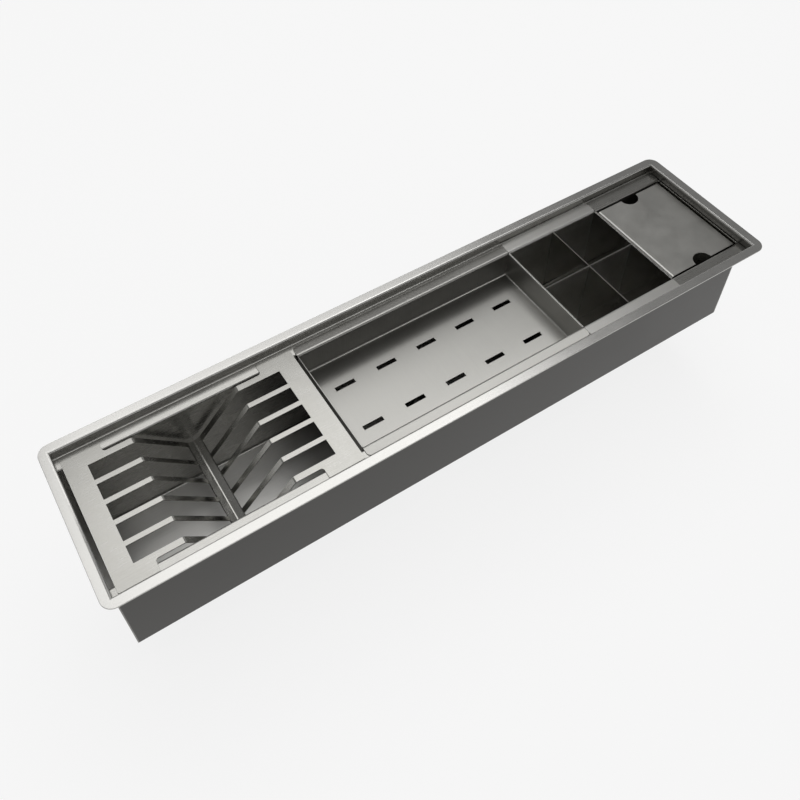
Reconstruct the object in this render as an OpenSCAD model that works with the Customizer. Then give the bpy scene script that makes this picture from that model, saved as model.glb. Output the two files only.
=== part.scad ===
// Recessed wet trough: a long stepped channel with four lift-out accessories on its two ledges.
// Origin: middle of the rim, on the plane of the worktop. X runs along the trough, Y to its back, Z up.

/* [Rim] */
// Overall length of the rim
rim_len = 1000; // [900:5:1200]
// Overall width of the rim, front to back
rim_w = 237; // [220:1:280]
// Thickness of the rim
rim_t = 1.5; // [1:0.1:3]
// Width of the rim on the worktop, from its outer edge to the wall that hangs from it
rim_border = 12.5; // [8:0.5:20]
// Radius of the rim's outer corners
rim_corner_r = 15.5; // [3:0.5:20]

/* [Channel] */
// Sheet thickness of the channel
sheet_t = 1.5; // [1:0.1:2]
// Depth of the ledges below the worktop
ledge_drop = 13.5; // [10:0.5:20]
// Width of each ledge
ledge_w = 18.5; // [14:0.5:22]
// Radius of the fold at the inner edge of each ledge
ledge_fold_r = 3; // [2:0.5:4]
// Outer radius of the fold between each ledge and its recess wall
root_fold_r = 3; // [2.5:0.5:4]
// Depth of the channel below the worktop
channel_h = 171; // [160:1:240]
// Outer radius of the folds along the floor
floor_fold_r = 4; // [2.5:0.5:10]

/* [Accessories] */
// Sheet thickness of the tray, the boxes and the lid
pan_t = 1.2; // [0.8:0.1:1.6]
// Gap between an accessory's walls and the channel's long walls
wall_gap = 2.8; // [1.5:0.1:4]
// Radius of the fold between a wing and its wall
wing_fold_r = 4; // [3:0.5:5]
// Radius of the wings' outer corners
wing_corner_r = 5; // [1:0.5:8]
// Gap between the wings of the rack and the tray and the fold below the recess wall
narrow_wing_gap = 5; // [1:0.5:7]
// Gap between the wings of the boxes and the fold below the recess wall
wide_wing_gap = 0.5; // [0.3:0.1:2]
// Drop of the accessories' side walls below their wings
side_drop = 1; // [0:0.1:2]
// Gap between the waste bin and the right end
end_gap = 1; // [0.5:0.1:3]
// Gap between the bin and the cutlery box, and between the box and the tray
joint_gap = 0.4; // [0.2:0.1:1]
// Gap between the tray and the rack
rack_gap = 4.4; // [1:0.1:8]
// Gap between the rack and the left end
left_gap = 6; // [2:0.5:12]

/* [Dish rack] */
// Length of the rack
rack_len = 315; // [280:1:340]
// Sheet thickness of the rack
rack_t = 1.5; // [1:0.1:2.5]
// Width of each plate of the rack, up to its gaps
plate_w = 27.5; // [20:0.5:35]
// Length of the level part of each tine
tine_len = 59.5; // [40:0.5:65]
// Width of the inner tines
tine_w = 7; // [4:0.5:10]
// Width of the outermost tines
outer_tine_w = 8.5; // [5:0.5:12]
// Number of gaps for plates on each side
gap_count = 5; // [3:1:8]
// Length of the wings of each plate, along the ledges
rack_wing_len = 50; // [40:1:75]
// Radius of the outer corners of the rack's wings
rack_corner_r = 2; // [1:0.5:5]
// Radius of the inner corner between a wing and the outermost tine
rack_fillet_r = 4; // [1:0.5:8]
// Depth of the spine's edges below the level part
spine_depth = 65; // [40:1:80]
// Width of the spine
spine_w = 18; // [12:1:30]
// Depth of the crease in the middle of the spine
spine_fall = 4; // [1:0.5:8]

/* [Drain tray] */
// Depth of the tray below the ledges
tray_h = 43.5; // [25:0.5:70]
// Outer radius of the tray's floor folds
tray_fold_r = 4; // [2:0.5:10]
// Length of a drain slot
slot_len = 30; // [15:1:50]
// Width of a drain slot
slot_w = 6.5; // [3:0.5:10]
// Distance between slots along the tray
slot_pitch = 65.6; // [55:0.1:80]
// Least distance from a slot's middle to the tray's end
slot_margin = 40; // [30:1:60]
// Distance between the two rows of slots
slot_row_pitch = 72; // [30:1:100]

/* [Cutlery box] */
// Length of the cutlery box
box_len = 163.6; // [120:0.2:200]
// Depth of the cutlery box below the ledges
box_h = 120; // [80:1:140]
// Outer radius of the floor folds of the box and the bin
box_fold_r = 4; // [2:0.5:10]
// Thickness of the dividers
divider_t = 2; // [1:0.1:4]
// Clearance in the half-lap joint of the dividers
lap_gap = 0.1; // [0.05:0.01:0.3]

/* [Waste bin] */
// Length of the waste bin
bin_len = 130.8; // [110:0.2:170]
// Depth of the waste bin below the ledges
bin_h = 138; // [90:1:140]
// Gap between the lid and the front and back walls of the bin
lid_side_gap = 3; // [1:0.1:5]
// Gap between the lid and the end walls of the bin
lid_end_gap = 1.8; // [0.5:0.1:4]
// Drop of the lid's top below the wings
lid_drop = 3.2; // [1:0.1:6]
// Height of the lid's turned-down ends
lid_skirt = 9; // [6:0.5:15]
// Radius of the folds at the lid's ends
lid_fold_r = 3; // [2:0.5:5]
// Radius of the finger notches
notch_r = 15; // [8:0.5:20]
// Width of the lips that carry the lid
lip_w = 7; // [5:0.5:12]

/* [Drain] */
// Radius of the hole in the channel's floor
drain_hole_r = 45; // [43:0.5:46]
// Outer radius of the strainer's flange
strainer_flange_r = 57; // [54:0.5:60]
// Thickness of the strainer's flange
strainer_flange_t = 2.5; // [1.5:0.1:4]
// Outer radius of the strainer's cup
cup_r = 42.5; // [40:0.5:42.5]
// Wall of the strainer's cup
cup_wall = 1.8; // [1.2:0.1:3]
// Outer radius of the cup's threaded outlet
neck_r = 23.9; // [23:0.1:26]
// Wall of the threaded outlet
neck_wall = 3; // [2:0.5:4]
// Length of the threaded outlet
neck_len = 16; // [15:0.5:17]
// Thickness of the rubber gasket under the floor
gasket_t = 3; // [2:0.1:5]
// Distance from the gasket's outer edge to the flange's edge
gasket_inset = 1; // [0:0.5:3]
// Thickness of the friction washer
washer_t = 1; // [0.5:0.1:2]
// Distance from the friction washer's outer edge to the flange's edge
washer_inset = 2; // [0:0.5:4]
// Height of the lock nut
lock_nut_h = 9; // [6:0.5:12]
// Thickness of the lock nut's ring
lock_nut_wall = 5.5; // [4:0.5:8]
// Length of the lock nut's lugs
lug_len = 4; // [2:0.5:6]
// Width of the lock nut's lugs
lug_w = 8; // [4:0.5:12]
// Number of lugs on the lock nut
lug_count = 6; // [3:1:10]
// Outer radius of the tailpiece
tailpiece_r = 19; // [16:0.1:19.5]
// Wall of the tailpiece
tailpiece_wall = 1.5; // [1:0.1:2.5]
// Length of the tailpiece with its flange
tailpiece_len = 55; // [40:1:90]
// Thickness of the tailpiece's flange
tail_flange_t = 2; // [1.5:0.1:3]
// Thickness of the washer above the tailpiece
tail_washer_t = 2; // [1:0.1:3]
// Distance that the washer's bore stands back from the tailpiece's bore
tail_washer_inset = 0.5; // [0:0.1:1]
// Height of the coupling nut
coupling_h = 20; // [18:0.5:21]
// Wall of the coupling nut
coupling_wall = 3.5; // [3:0.5:6]
// Thickness of the coupling nut's lower lip
coupling_floor = 3; // [2:0.5:5]
// Number of grips on the coupling nut
grip_count = 12; // [6:1:20]
// Size of a grip: its height, and half of its width
grip = 1.5; // [1:0.1:2]
// Running clearance of threads and sliding rings
thread_gap = 0.05; // [0.02:0.01:0.1]

/* [Strainer basket] */
// Gap between the basket's rim and the cup
basket_gap = 0.7; // [0.3:0.1:1.5]
// Depth of the basket's rim below the strainer's flange
basket_sink = 1; // [0.5:0.1:3]
// Width of the basket's rim
basket_rim_w = 8; // [6:0.5:8]
// Depth of the basket
basket_h = 26; // [20:1:32]
// Wall of the basket
basket_wall = 1.2; // [0.8:0.1:2]
// Radius of the holes in the basket
basket_hole_r = 2.2; // [1:0.1:2.5]
// Distance from the outer ring of holes to the edge of the basket's floor
hole_inset = 4.5; // [4.5:0.1:5]
// Distance between the rings of holes
hole_ring_pitch = 7; // [6:0.1:7]
// Radius of the pull knob
knob_r = 9; // [6:0.5:12]
// Thickness of the pull knob
knob_t = 4; // [2:0.5:6]
// Height of the pull knob above the basket's rim
knob_rise = 5; // [2:0.5:10]
// Radius of the post that carries the knob and the stopper
post_r = 3.5; // [2:0.5:4]
// Radius of the post's collars
collar_r = 7; // [5:0.5:7]
// Thickness of the collars under the stopper and on the basket's floor
collar_t = 2; // [1:0.5:4]
// Radius of the stopper under the basket
seal_r = 28; // [26:0.5:29]
// Thickness of the stopper
seal_t = 4; // [2:0.5:6]
// Gap between the basket's floor and its stopper
seal_gap = 4; // [2:0.5:6]

/* [Hidden] */
$fn = 64;
// Overlap of cuts and joined blocks
eps = 0.01;

steel = "#c9c9c6";
dark_steel = "#8f8f8c";
rubber = "#2b2b2b";
plastic = "#e6e6e2";

// Outer and inner faces of the recess walls and of the end panels
recess_out_y = rim_w / 2 - rim_border;
recess_in_y = recess_out_y - sheet_t;
end_out_x = rim_len / 2 - rim_border;
end_in_x = end_out_x - sheet_t;
// Inner and outer faces of the long walls below the ledges
wall_in_y = recess_in_y - ledge_w;
wall_out_y = wall_in_y + sheet_t;
ledge_z = -ledge_drop;
floor_z = -channel_h + sheet_t;

// Inner face of every accessory's front and back wall
mouth_y = wall_in_y - wall_gap - pan_t;
wing_limit_y = recess_out_y - root_fold_r;
narrow_wing_y = wing_limit_y - narrow_wing_gap;
wide_wing_y = wing_limit_y - wide_wing_gap;

// Ends of the accessories, from the right end of the channel to the left
bin_right_x = end_in_x - end_gap;
bin_left_x = bin_right_x - bin_len;
box_right_x = bin_left_x - joint_gap;
box_left_x = box_right_x - box_len;
tray_right_x = box_left_x - joint_gap;
rack_left_x = -end_in_x + left_gap;
rack_right_x = rack_left_x + rack_len;
tray_left_x = rack_right_x + rack_gap;
tray_len = tray_right_x - tray_left_x;
tray_mid_x = (tray_left_x + tray_right_x) / 2;
box_mid_x = (box_left_x + box_right_x) / 2;
bin_mid_x = (bin_left_x + bin_right_x) / 2;
rack_mid_x = (rack_left_x + rack_right_x) / 2;

// Dish rack: half sizes along X, measured from its middle
rack_half = rack_len / 2;
fold_x = rack_half - plate_w - tine_len;
rack_top_z = ledge_z + rack_t;
rack_half_y = mouth_y;
gap_w = (2 * rack_half_y - 2 * outer_tine_w - (gap_count - 1) * tine_w) / gap_count;
spine_edge_z = rack_top_z - spine_depth;

wing_top_z = ledge_z + pan_t;
lid_top_z = wing_top_z - lid_drop;
lip_top_z = lid_top_z - lid_skirt;

// Dividers, which stand on the floor of the cutlery box and cross in its middle
divider_low_z = ledge_z - box_h + pan_t;
divider_high_z = wing_top_z - side_drop;
divider_mid_z = (divider_low_z + divider_high_z) / 2;
divider_foot = box_fold_r - pan_t;
divider_lap = divider_t / 2 + lap_gap;

// Drain, on the middle of the trough
gasket_top_z = -channel_h;
washer_top_z = gasket_top_z - gasket_t;
nut_top_z = washer_top_z - washer_t;
flange_top_z = floor_z + strainer_flange_t;
cup_in_r = cup_r - cup_wall;
basket_top_z = flange_top_z - basket_sink;
basket_floor_z = basket_top_z - basket_h;
basket_r = cup_in_r - basket_gap;
basket_foot_r = basket_r - basket_rim_w;
seal_top_z = basket_floor_z - seal_gap;
seat_z = seal_top_z - seal_t;
cup_bottom_z = seat_z - cup_wall;
neck_bottom_z = cup_bottom_z - neck_len;
lock_nut_r = cup_r + lock_nut_wall;
tail_flange_z = neck_bottom_z - tail_washer_t;
tailpiece_in_r = tailpiece_r - tailpiece_wall;
coupling_bottom_z = tail_flange_z - tail_flange_t - coupling_floor;

// A block from the lowest to the highest corner
module block(low, high) {
    translate(low)
        cube(high - low);
}

// A flat ring, open in the middle
module ring(outer_r, inner_r, z, height) {
    translate([0, 0, z])
        difference() {
            cylinder(r = outer_r, h = height);
            translate([0, 0, -eps])
                cylinder(r = inner_r, h = height + 2 * eps);
        }
}

// A plate with four rounded corners, centred on the origin
module rounded_plate(len_x, len_y, r, z, height) {
    translate([0, 0, z])
        linear_extrude(height)
            rounded_rect(len_x, len_y, r);
}

module rounded_rect(len_x, len_y, r) {
    square([len_x - 2 * r, len_y], center = true);
    square([len_x, len_y - 2 * r], center = true);
    for (sx = [-1, 1], sy = [-1, 1])
        translate([sx * (len_x / 2 - r), sy * (len_y / 2 - r)])
            circle(r);
}

// Extrudes a shape drawn in Y and Z along X, from x0 to x1
module along_x(x0, x1) {
    translate([x0, 0, 0])
        rotate([90, 0, 90])
            linear_extrude(x1 - x0)
                children();
}

// Extrudes a shape drawn in X and Z along Y, centred on the middle plane
module along_y(half_len) {
    translate([0, half_len, 0])
        rotate([90, 0, 0])
            linear_extrude(2 * half_len)
                children();
}

// The quarter of a fold that turns from level to upright: outer radius r, sheet thickness t,
// with its centre on the origin and its sheet in the quadrant of positive Y and Z
module fold_quarter(r, t) {
    intersection() {
        difference() {
            circle(r);
            circle(r - t);
        }
        square([r, r]);
    }
}

// Trough shape with rounded bottom corners, drawn in the extrusion's plane
module trough_shape(half_w, bottom, top, r) {
    translate([-half_w, bottom + r])
        square([2 * half_w, top - bottom - r]);
    translate([-half_w + r, bottom])
        square([2 * (half_w - r), r + eps]);
    for (s = [-1, 1])
        translate([s * (half_w - r), bottom + r])
            circle(r);
}

// Box with folded bottom edges on all four sides
module folded_block(x0, x1, half_w, bottom, top, r) {
    half_len = (x1 - x0) / 2;
    intersection() {
        along_x(x0, x1)
            trough_shape(half_w, bottom, top, r);
        translate([(x0 + x1) / 2, 0, 0])
            along_y(half_w + 1)
                trough_shape(half_len, bottom, top, r);
    }
}

// Rim

module rim_flange() {
    color(steel)
        difference() {
            rounded_plate(rim_len, rim_w, rim_corner_r, 0, rim_t);
            block([-end_out_x, -recess_out_y, -1], [end_out_x, recess_out_y, rim_t + 1]);
        }
}

// Channel

// One side of the channel's section: recess wall, ledge, long wall and half of the floor
module channel_side() {
    root_z = ledge_z - sheet_t + root_fold_r;
    // Recess wall with its rounded top
    translate([recess_in_y, root_z])
        square([sheet_t, rim_t - sheet_t - root_z]);
    intersection() {
        translate([recess_out_y, rim_t - sheet_t])
            circle(sheet_t);
        translate([recess_in_y, rim_t - sheet_t])
            square([sheet_t, sheet_t]);
    }
    // Ledge, from the fold at its inner edge to the fold below the recess wall
    translate([wing_limit_y, root_z])
        mirror([0, 1])
            fold_quarter(root_fold_r, sheet_t);
    translate([wall_in_y + ledge_fold_r, ledge_z - sheet_t])
        square([wing_limit_y - wall_in_y - ledge_fold_r, sheet_t]);
    translate([wall_in_y + ledge_fold_r, ledge_z - ledge_fold_r])
        mirror([1, 0])
            fold_quarter(ledge_fold_r, sheet_t);
    // Long wall
    translate([wall_in_y, -channel_h + floor_fold_r])
        square([sheet_t, channel_h - floor_fold_r - ledge_drop - ledge_fold_r]);
    translate([wall_out_y - floor_fold_r, -channel_h + floor_fold_r])
        mirror([0, 1])
            fold_quarter(floor_fold_r, sheet_t);
    // Floor
    translate([0, -channel_h])
        square([wall_out_y - floor_fold_r, sheet_t]);
}

module channel_shell() {
    color(steel)
        difference() {
            along_x(-end_in_x, end_in_x) {
                channel_side();
                mirror([1, 0])
                    channel_side();
            }
            translate([0, 0, -channel_h - 1])
                cylinder(r = drain_hole_r, h = sheet_t + 2);
        }
}

// Flat plate that closes one end, with the same stepped outline as the channel
module end_panel() {
    color(steel) {
        along_x(end_in_x, end_out_x) {
            trough_shape(recess_out_y, ledge_z - sheet_t, rim_t - sheet_t, root_fold_r);
            trough_shape(wall_out_y, -channel_h, ledge_z, floor_fold_r);
        }
        translate([end_out_x, 0, rim_t - sheet_t])
            along_y(recess_out_y)
                intersection() {
                    circle(sheet_t);
                    translate([-sheet_t, 0])
                        square([sheet_t, sheet_t]);
                }
    }
}

module right_end_panel() {
    end_panel();
}

module left_end_panel() {
    mirror([1, 0, 0])
        end_panel();
}

// Dish rack

// Section of the rack in X and Z, from a plate down to the spine
module slope_profile() {
    drop = spine_depth;
    run = fold_x - spine_w / 2;
    // Height of the sheet measured upright on the slope
    slope_t = rack_t * norm([run, drop]) / run;
    polygon([
        [spine_w / 2, spine_edge_z - slope_t],
        [fold_x + (slope_t - rack_t) * run / drop, rack_top_z - rack_t],
        [rack_half, rack_top_z - rack_t],
        [rack_half, rack_top_z],
        [fold_x, rack_top_z],
        [spine_w / 2, spine_edge_z]
    ]);
}

// Plan of the right half of the rack: plate, its wings on the ledges and the tines
module comb_plan() {
    translate([rack_half - plate_w, -rack_half_y])
        square([plate_w, 2 * rack_half_y]);
    for (s = [-1, 1])
        mirror([0, s < 0 ? 1 : 0]) {
            wing_plan(rack_half - rack_wing_len, rack_half, rack_half_y, narrow_wing_y, rack_corner_r);
            translate([rack_half - rack_wing_len, rack_half_y])
                corner_fillet(rack_fillet_r);
            translate([0, rack_half_y - outer_tine_w])
                square([rack_half, outer_tine_w]);
        }
    for (i = [1 : gap_count - 1])
        translate([0, -rack_half_y + outer_tine_w + i * gap_w + (i - 1) * tine_w])
            square([rack_half, tine_w]);
}

// Fills the inner corner at the origin, in the quadrant of negative X and positive Y
module corner_fillet(r) {
    difference() {
        translate([-r, -eps])
            square([r + eps, r + eps]);
        translate([-r, r])
            circle(r);
    }
}

// Plan of a wing from x0 to x1, joined to its wall at y0, with rounded outer corners at y1
module wing_plan(x0, x1, y0, y1, r) {
    translate([x0, y0 - eps])
        square([x1 - x0, y1 - y0 - r + eps]);
    translate([x0 + r, y0])
        square([x1 - x0 - 2 * r, y1 - y0]);
    for (x = [x0 + r, x1 - r])
        translate([x, y1 - r])
            circle(r);
}

module rack_comb() {
    color(steel)
        intersection() {
            along_y(narrow_wing_y)
                slope_profile();
            translate([0, 0, spine_edge_z - spine_depth])
                linear_extrude(2 * spine_depth + ledge_drop)
                    comb_plan();
        }
}

module rack_right_comb() {
    translate([rack_mid_x, 0, 0])
        rack_comb();
}

module rack_left_comb() {
    translate([rack_mid_x, 0, 0])
        mirror([1, 0, 0])
            rack_comb();
}

// Shallow V that joins the two combs along their lower ends
module rack_spine() {
    half = spine_w / 2;
    color(steel)
        translate([rack_mid_x, 0, 0])
            along_y(rack_half_y)
                polygon([
                    [-half, spine_edge_z],
                    [0, spine_edge_z - spine_fall],
                    [half, spine_edge_z],
                    [half, spine_edge_z - rack_t],
                    [0, spine_edge_z - spine_fall - rack_t],
                    [-half, spine_edge_z - rack_t]
                ]);
}

// Pans: the tray, the cutlery box and the waste bin share one construction

// Section of a wing and the top of its wall
module wing_profile(wing_y) {
    translate([mouth_y + wing_fold_r, ledge_z])
        square([wing_y - mouth_y - wing_fold_r, pan_t]);
    translate([mouth_y + wing_fold_r, wing_top_z - wing_fold_r])
        mirror([1, 0])
            fold_quarter(wing_fold_r, pan_t);
}

// A pan from x0 to x1 that hangs below the ledges by h, with its wings out to wing_y
module pan(x0, x1, h, wing_y, r) {
    bottom = ledge_z - h;
    side_top = wing_top_z - side_drop;
    fold_z = wing_top_z - wing_fold_r;
    difference() {
        union() {
            folded_block(x0, x1, mouth_y + pan_t, bottom, side_top, r);
            intersection() {
                union()
                    for (s = [0, 1])
                        mirror([0, s, 0])
                            along_x(x0, x1)
                                wing_profile(wing_y);
                translate([0, 0, bottom])
                    linear_extrude(h + 2 * pan_t)
                        for (s = [0, 1])
                            mirror([0, s])
                                wing_plan(x0, x1, mouth_y, wing_y, wing_corner_r);
            }
        }
        folded_block(x0 + pan_t, x1 - pan_t, mouth_y, bottom + pan_t, wing_top_z + 1, r - pan_t);
        for (s = [0, 1])
            mirror([0, s, 0])
                wall_head_cut(x0, x1, fold_z);
    }
}

// Clears the head of a front or back wall above the start of its fold
module wall_head_cut(x0, x1, fold_z) {
    difference() {
        block([x0 - 1, mouth_y - eps, fold_z], [x1 + 1, mouth_y + pan_t + 1, wing_top_z + 1]);
        along_x(x0 - 2, x1 + 2)
            translate([mouth_y + wing_fold_r, fold_z])
                difference() {
                    circle(wing_fold_r);
                    circle(wing_fold_r - pan_t);
                }
    }
}

module drain_tray() {
    slots = floor((tray_len - 2 * slot_margin) / slot_pitch) + 1;
    first_x = tray_mid_x - (slots - 1) / 2 * slot_pitch;
    tray_bottom_z = ledge_z - tray_h;
    color(steel)
        difference() {
            pan(tray_left_x, tray_right_x, tray_h, narrow_wing_y, tray_fold_r);
            for (i = [0 : slots - 1], s = [-1, 1])
                translate([first_x + i * slot_pitch, s * slot_row_pitch / 2, tray_bottom_z])
                    cube([slot_len, slot_w, 4 * pan_t], center = true);
        }
}

module cutlery_box() {
    color(steel)
        pan(box_left_x, box_right_x, box_h, wide_wing_y, box_fold_r);
}

// Outline of a divider with its lower corners cut clear of the box's folds
module divider_outline(half_len) {
    polygon([
        [-half_len, divider_high_z],
        [half_len, divider_high_z],
        [half_len, divider_low_z + divider_foot],
        [half_len - divider_foot, divider_low_z],
        [-half_len + divider_foot, divider_low_z],
        [-half_len, divider_low_z + divider_foot]
    ]);
}

module lengthwise_divider() {
    half_len = box_len / 2 - pan_t;
    color(dark_steel)
        translate([box_mid_x, 0, 0])
            difference() {
                along_y(divider_t / 2)
                    divider_outline(half_len);
                block([-divider_lap, -divider_t, divider_low_z - 1], [divider_lap, divider_t, divider_mid_z]);
            }
}

module crosswise_divider() {
    color(dark_steel)
        translate([box_mid_x, 0, 0])
            difference() {
                along_x(-divider_t / 2, divider_t / 2)
                    divider_outline(mouth_y);
                block([-divider_t, -divider_lap, divider_mid_z], [divider_t, divider_lap, wing_top_z + 1]);
            }
}

module waste_bin() {
    color(steel) {
        pan(bin_left_x, bin_right_x, bin_h, wide_wing_y, box_fold_r);
        // Lips that carry the lid, folded inward from the end walls
        for (x = [bin_left_x + pan_t - eps, bin_right_x - pan_t - lip_w])
            block([x, -mouth_y - eps, lip_top_z - pan_t], [x + lip_w + eps, mouth_y + eps, lip_top_z]);
    }
}

module bin_lid() {
    half_len = bin_len / 2 - pan_t - lid_end_gap;
    half_w = mouth_y - lid_side_gap;
    color(dark_steel)
        translate([bin_mid_x, 0, 0])
            difference() {
                along_y(half_w) {
                    translate([-half_len + lid_fold_r, lid_top_z - pan_t])
                        square([2 * (half_len - lid_fold_r), pan_t]);
                    for (s = [0, 1])
                        mirror([s, 0]) {
                            translate([half_len - lid_fold_r, lid_top_z - lid_fold_r])
                                fold_quarter(lid_fold_r, pan_t);
                            translate([half_len - pan_t, lip_top_z])
                                square([pan_t, lid_skirt - lid_fold_r]);
                        }
                }
                for (s = [-1, 1])
                    translate([0, s * half_w, lip_top_z])
                        cylinder(r = notch_r, h = lid_skirt + 1);
            }
}

// Drain

module strainer_body() {
    color(dark_steel)
        difference() {
            union() {
                ring(strainer_flange_r, cup_in_r, floor_z, strainer_flange_t);
                translate([0, 0, cup_bottom_z])
                    cylinder(r = cup_r, h = flange_top_z - cup_bottom_z);
                translate([0, 0, neck_bottom_z])
                    cylinder(r = neck_r, h = neck_len + eps);
            }
            translate([0, 0, seat_z])
                cylinder(r = cup_in_r, h = flange_top_z - seat_z + 1);
            translate([0, 0, neck_bottom_z - 1])
                cylinder(r = neck_r - neck_wall, h = seat_z - neck_bottom_z + 2);
        }
}

module strainer_gasket() {
    color(rubber)
        ring(strainer_flange_r - gasket_inset, cup_r + thread_gap, gasket_top_z - gasket_t, gasket_t);
}

module friction_washer() {
    color(plastic)
        ring(strainer_flange_r - washer_inset, cup_r + thread_gap, washer_top_z - washer_t, washer_t);
}

module lock_nut() {
    nut_low_z = nut_top_z - lock_nut_h;
    lug_half = lug_w / 2;
    lug_end = lock_nut_r + lug_len;
    color(dark_steel)
        difference() {
            union() {
                translate([0, 0, nut_low_z])
                    cylinder(r = lock_nut_r, h = lock_nut_h);
                for (i = [0 : lug_count - 1])
                    rotate([0, 0, i * 360 / lug_count])
                        block([cup_r + 1, -lug_half, nut_low_z], [lug_end, lug_half, nut_top_z]);
            }
            translate([0, 0, nut_low_z - 1])
                cylinder(r = cup_r + thread_gap, h = lock_nut_h + 2);
        }
}

// Basket: a rim that hangs on the strainer's flange, a cup with rings of holes and a pull knob
module strainer_basket() {
    outer_ring_r = basket_foot_r - hole_inset;
    // Number of holes in each ring, from the outermost inward
    ring_counts = [18, 12, 8];
    color(steel)
        difference() {
            union() {
                ring(basket_r, basket_foot_r, basket_top_z - basket_wall, basket_wall);
                translate([0, 0, basket_floor_z])
                    cylinder(r = basket_foot_r, h = basket_h);
            }
            translate([0, 0, basket_floor_z + basket_wall])
                cylinder(r = basket_foot_r - basket_wall, h = basket_h);
            for (row = [0 : len(ring_counts) - 1], i = [0 : ring_counts[row] - 1])
                rotate([0, 0, i * 360 / ring_counts[row]])
                    translate([outer_ring_r - row * hole_ring_pitch, 0, basket_floor_z - 1])
                        cylinder(r = basket_hole_r, h = basket_wall + 2);
            translate([0, 0, basket_floor_z - 1])
                cylinder(r = post_r + thread_gap, h = basket_wall + 2);
        }
}

module basket_post() {
    post_low_z = seat_z - collar_t;
    knob_top_z = basket_top_z + knob_rise;
    color(dark_steel) {
        translate([0, 0, post_low_z])
            cylinder(r = post_r, h = knob_top_z - post_low_z);
        // Collars below the stopper, between the stopper and the basket, and above the basket's floor
        translate([0, 0, post_low_z])
            cylinder(r = collar_r, h = collar_t);
        translate([0, 0, seal_top_z])
            cylinder(r = collar_r, h = seal_gap);
        translate([0, 0, basket_floor_z + basket_wall])
            cylinder(r = collar_r, h = collar_t);
        translate([0, 0, knob_top_z - knob_t])
            cylinder(r = knob_r, h = knob_t);
    }
}

module basket_seal() {
    color(rubber)
        ring(seal_r, post_r + thread_gap, seat_z, seal_t);
}

module tailpiece_washer() {
    color(plastic)
        ring(neck_r - thread_gap, tailpiece_in_r + tail_washer_inset, tail_flange_z, tail_washer_t);
}

module tailpiece() {
    color(dark_steel)
        difference() {
            union() {
                ring(neck_r - thread_gap, tailpiece_in_r, tail_flange_z - tail_flange_t, tail_flange_t);
                translate([0, 0, tail_flange_z - tailpiece_len])
                    cylinder(r = tailpiece_r, h = tailpiece_len);
            }
            translate([0, 0, tail_flange_z - tailpiece_len - 1])
                cylinder(r = tailpiece_in_r, h = tailpiece_len + 2);
        }
}

module coupling_nut() {
    outer_r = neck_r + thread_gap + coupling_wall;
    top_z = coupling_bottom_z + coupling_h;
    color(dark_steel)
        difference() {
            union() {
                translate([0, 0, coupling_bottom_z])
                    cylinder(r = outer_r, h = coupling_h);
                for (i = [0 : grip_count - 1])
                    rotate([0, 0, i * 360 / grip_count])
                        block([outer_r - grip, -grip, coupling_bottom_z], [outer_r + grip, grip, top_z]);
            }
            translate([0, 0, coupling_bottom_z + coupling_floor])
                cylinder(r = neck_r + thread_gap, h = coupling_h);
            translate([0, 0, coupling_bottom_z - 1])
                cylinder(r = tailpiece_r + thread_gap, h = coupling_h);
        }
}

rim_flange();
channel_shell();
left_end_panel();
right_end_panel();
rack_left_comb();
rack_spine();
rack_right_comb();
drain_tray();
cutlery_box();
lengthwise_divider();
crosswise_divider();
waste_bin();
bin_lid();
strainer_body();
strainer_gasket();
friction_washer();
lock_nut();
strainer_basket();
basket_post();
basket_seal();
tailpiece_washer();
coupling_nut();
tailpiece();
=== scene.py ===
import logging
import math
from collections.abc import Iterator, Sequence
from contextlib import contextmanager
from dataclasses import dataclass
from enum import Enum

import bmesh
import bpy
from mathutils import Matrix, Vector


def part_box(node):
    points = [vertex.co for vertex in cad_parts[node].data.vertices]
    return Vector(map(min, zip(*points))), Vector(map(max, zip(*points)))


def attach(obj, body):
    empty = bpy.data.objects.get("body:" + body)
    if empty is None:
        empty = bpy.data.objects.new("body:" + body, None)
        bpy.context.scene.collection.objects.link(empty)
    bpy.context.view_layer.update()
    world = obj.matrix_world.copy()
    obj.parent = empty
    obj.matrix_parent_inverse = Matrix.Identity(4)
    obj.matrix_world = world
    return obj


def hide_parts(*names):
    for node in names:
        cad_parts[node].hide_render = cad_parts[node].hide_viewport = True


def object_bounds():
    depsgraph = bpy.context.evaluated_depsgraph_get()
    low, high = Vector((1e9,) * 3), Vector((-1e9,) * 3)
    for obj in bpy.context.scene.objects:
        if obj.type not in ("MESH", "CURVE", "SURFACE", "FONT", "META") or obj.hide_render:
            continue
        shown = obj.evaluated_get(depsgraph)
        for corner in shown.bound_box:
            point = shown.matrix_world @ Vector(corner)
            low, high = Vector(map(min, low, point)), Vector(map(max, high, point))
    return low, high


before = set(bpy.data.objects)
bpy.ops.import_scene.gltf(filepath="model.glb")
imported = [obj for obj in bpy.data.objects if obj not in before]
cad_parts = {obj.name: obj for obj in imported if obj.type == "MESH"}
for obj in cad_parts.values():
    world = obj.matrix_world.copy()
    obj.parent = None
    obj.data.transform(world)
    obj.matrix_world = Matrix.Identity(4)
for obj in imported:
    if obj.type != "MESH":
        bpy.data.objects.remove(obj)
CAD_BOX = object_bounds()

LOG = logging.getLogger("trough")

# Every size below is in millimetres in the CAD model's frame; Blender works in metres
MM = 0.001
# Past everything, where a selection has no limit
FAR = 5000.0
# How far apart two places may be and still count as one
SLACK = 0.02
# How far a cutter reaches past what it cuts
CLEAR = 5.0
# Width of the broken edges of a cut sheet
SHEET_EDGE = 0.2
# Angles in degrees above which two faces meet in an edge that is broken, or that stays sharp
BROKEN_ABOVE = 50.0
SHARP_ABOVE = 35.0

Point = tuple[float, float, float]
Span = tuple[Point, Point]
Socket = bpy.types.NodeSocket


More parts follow.
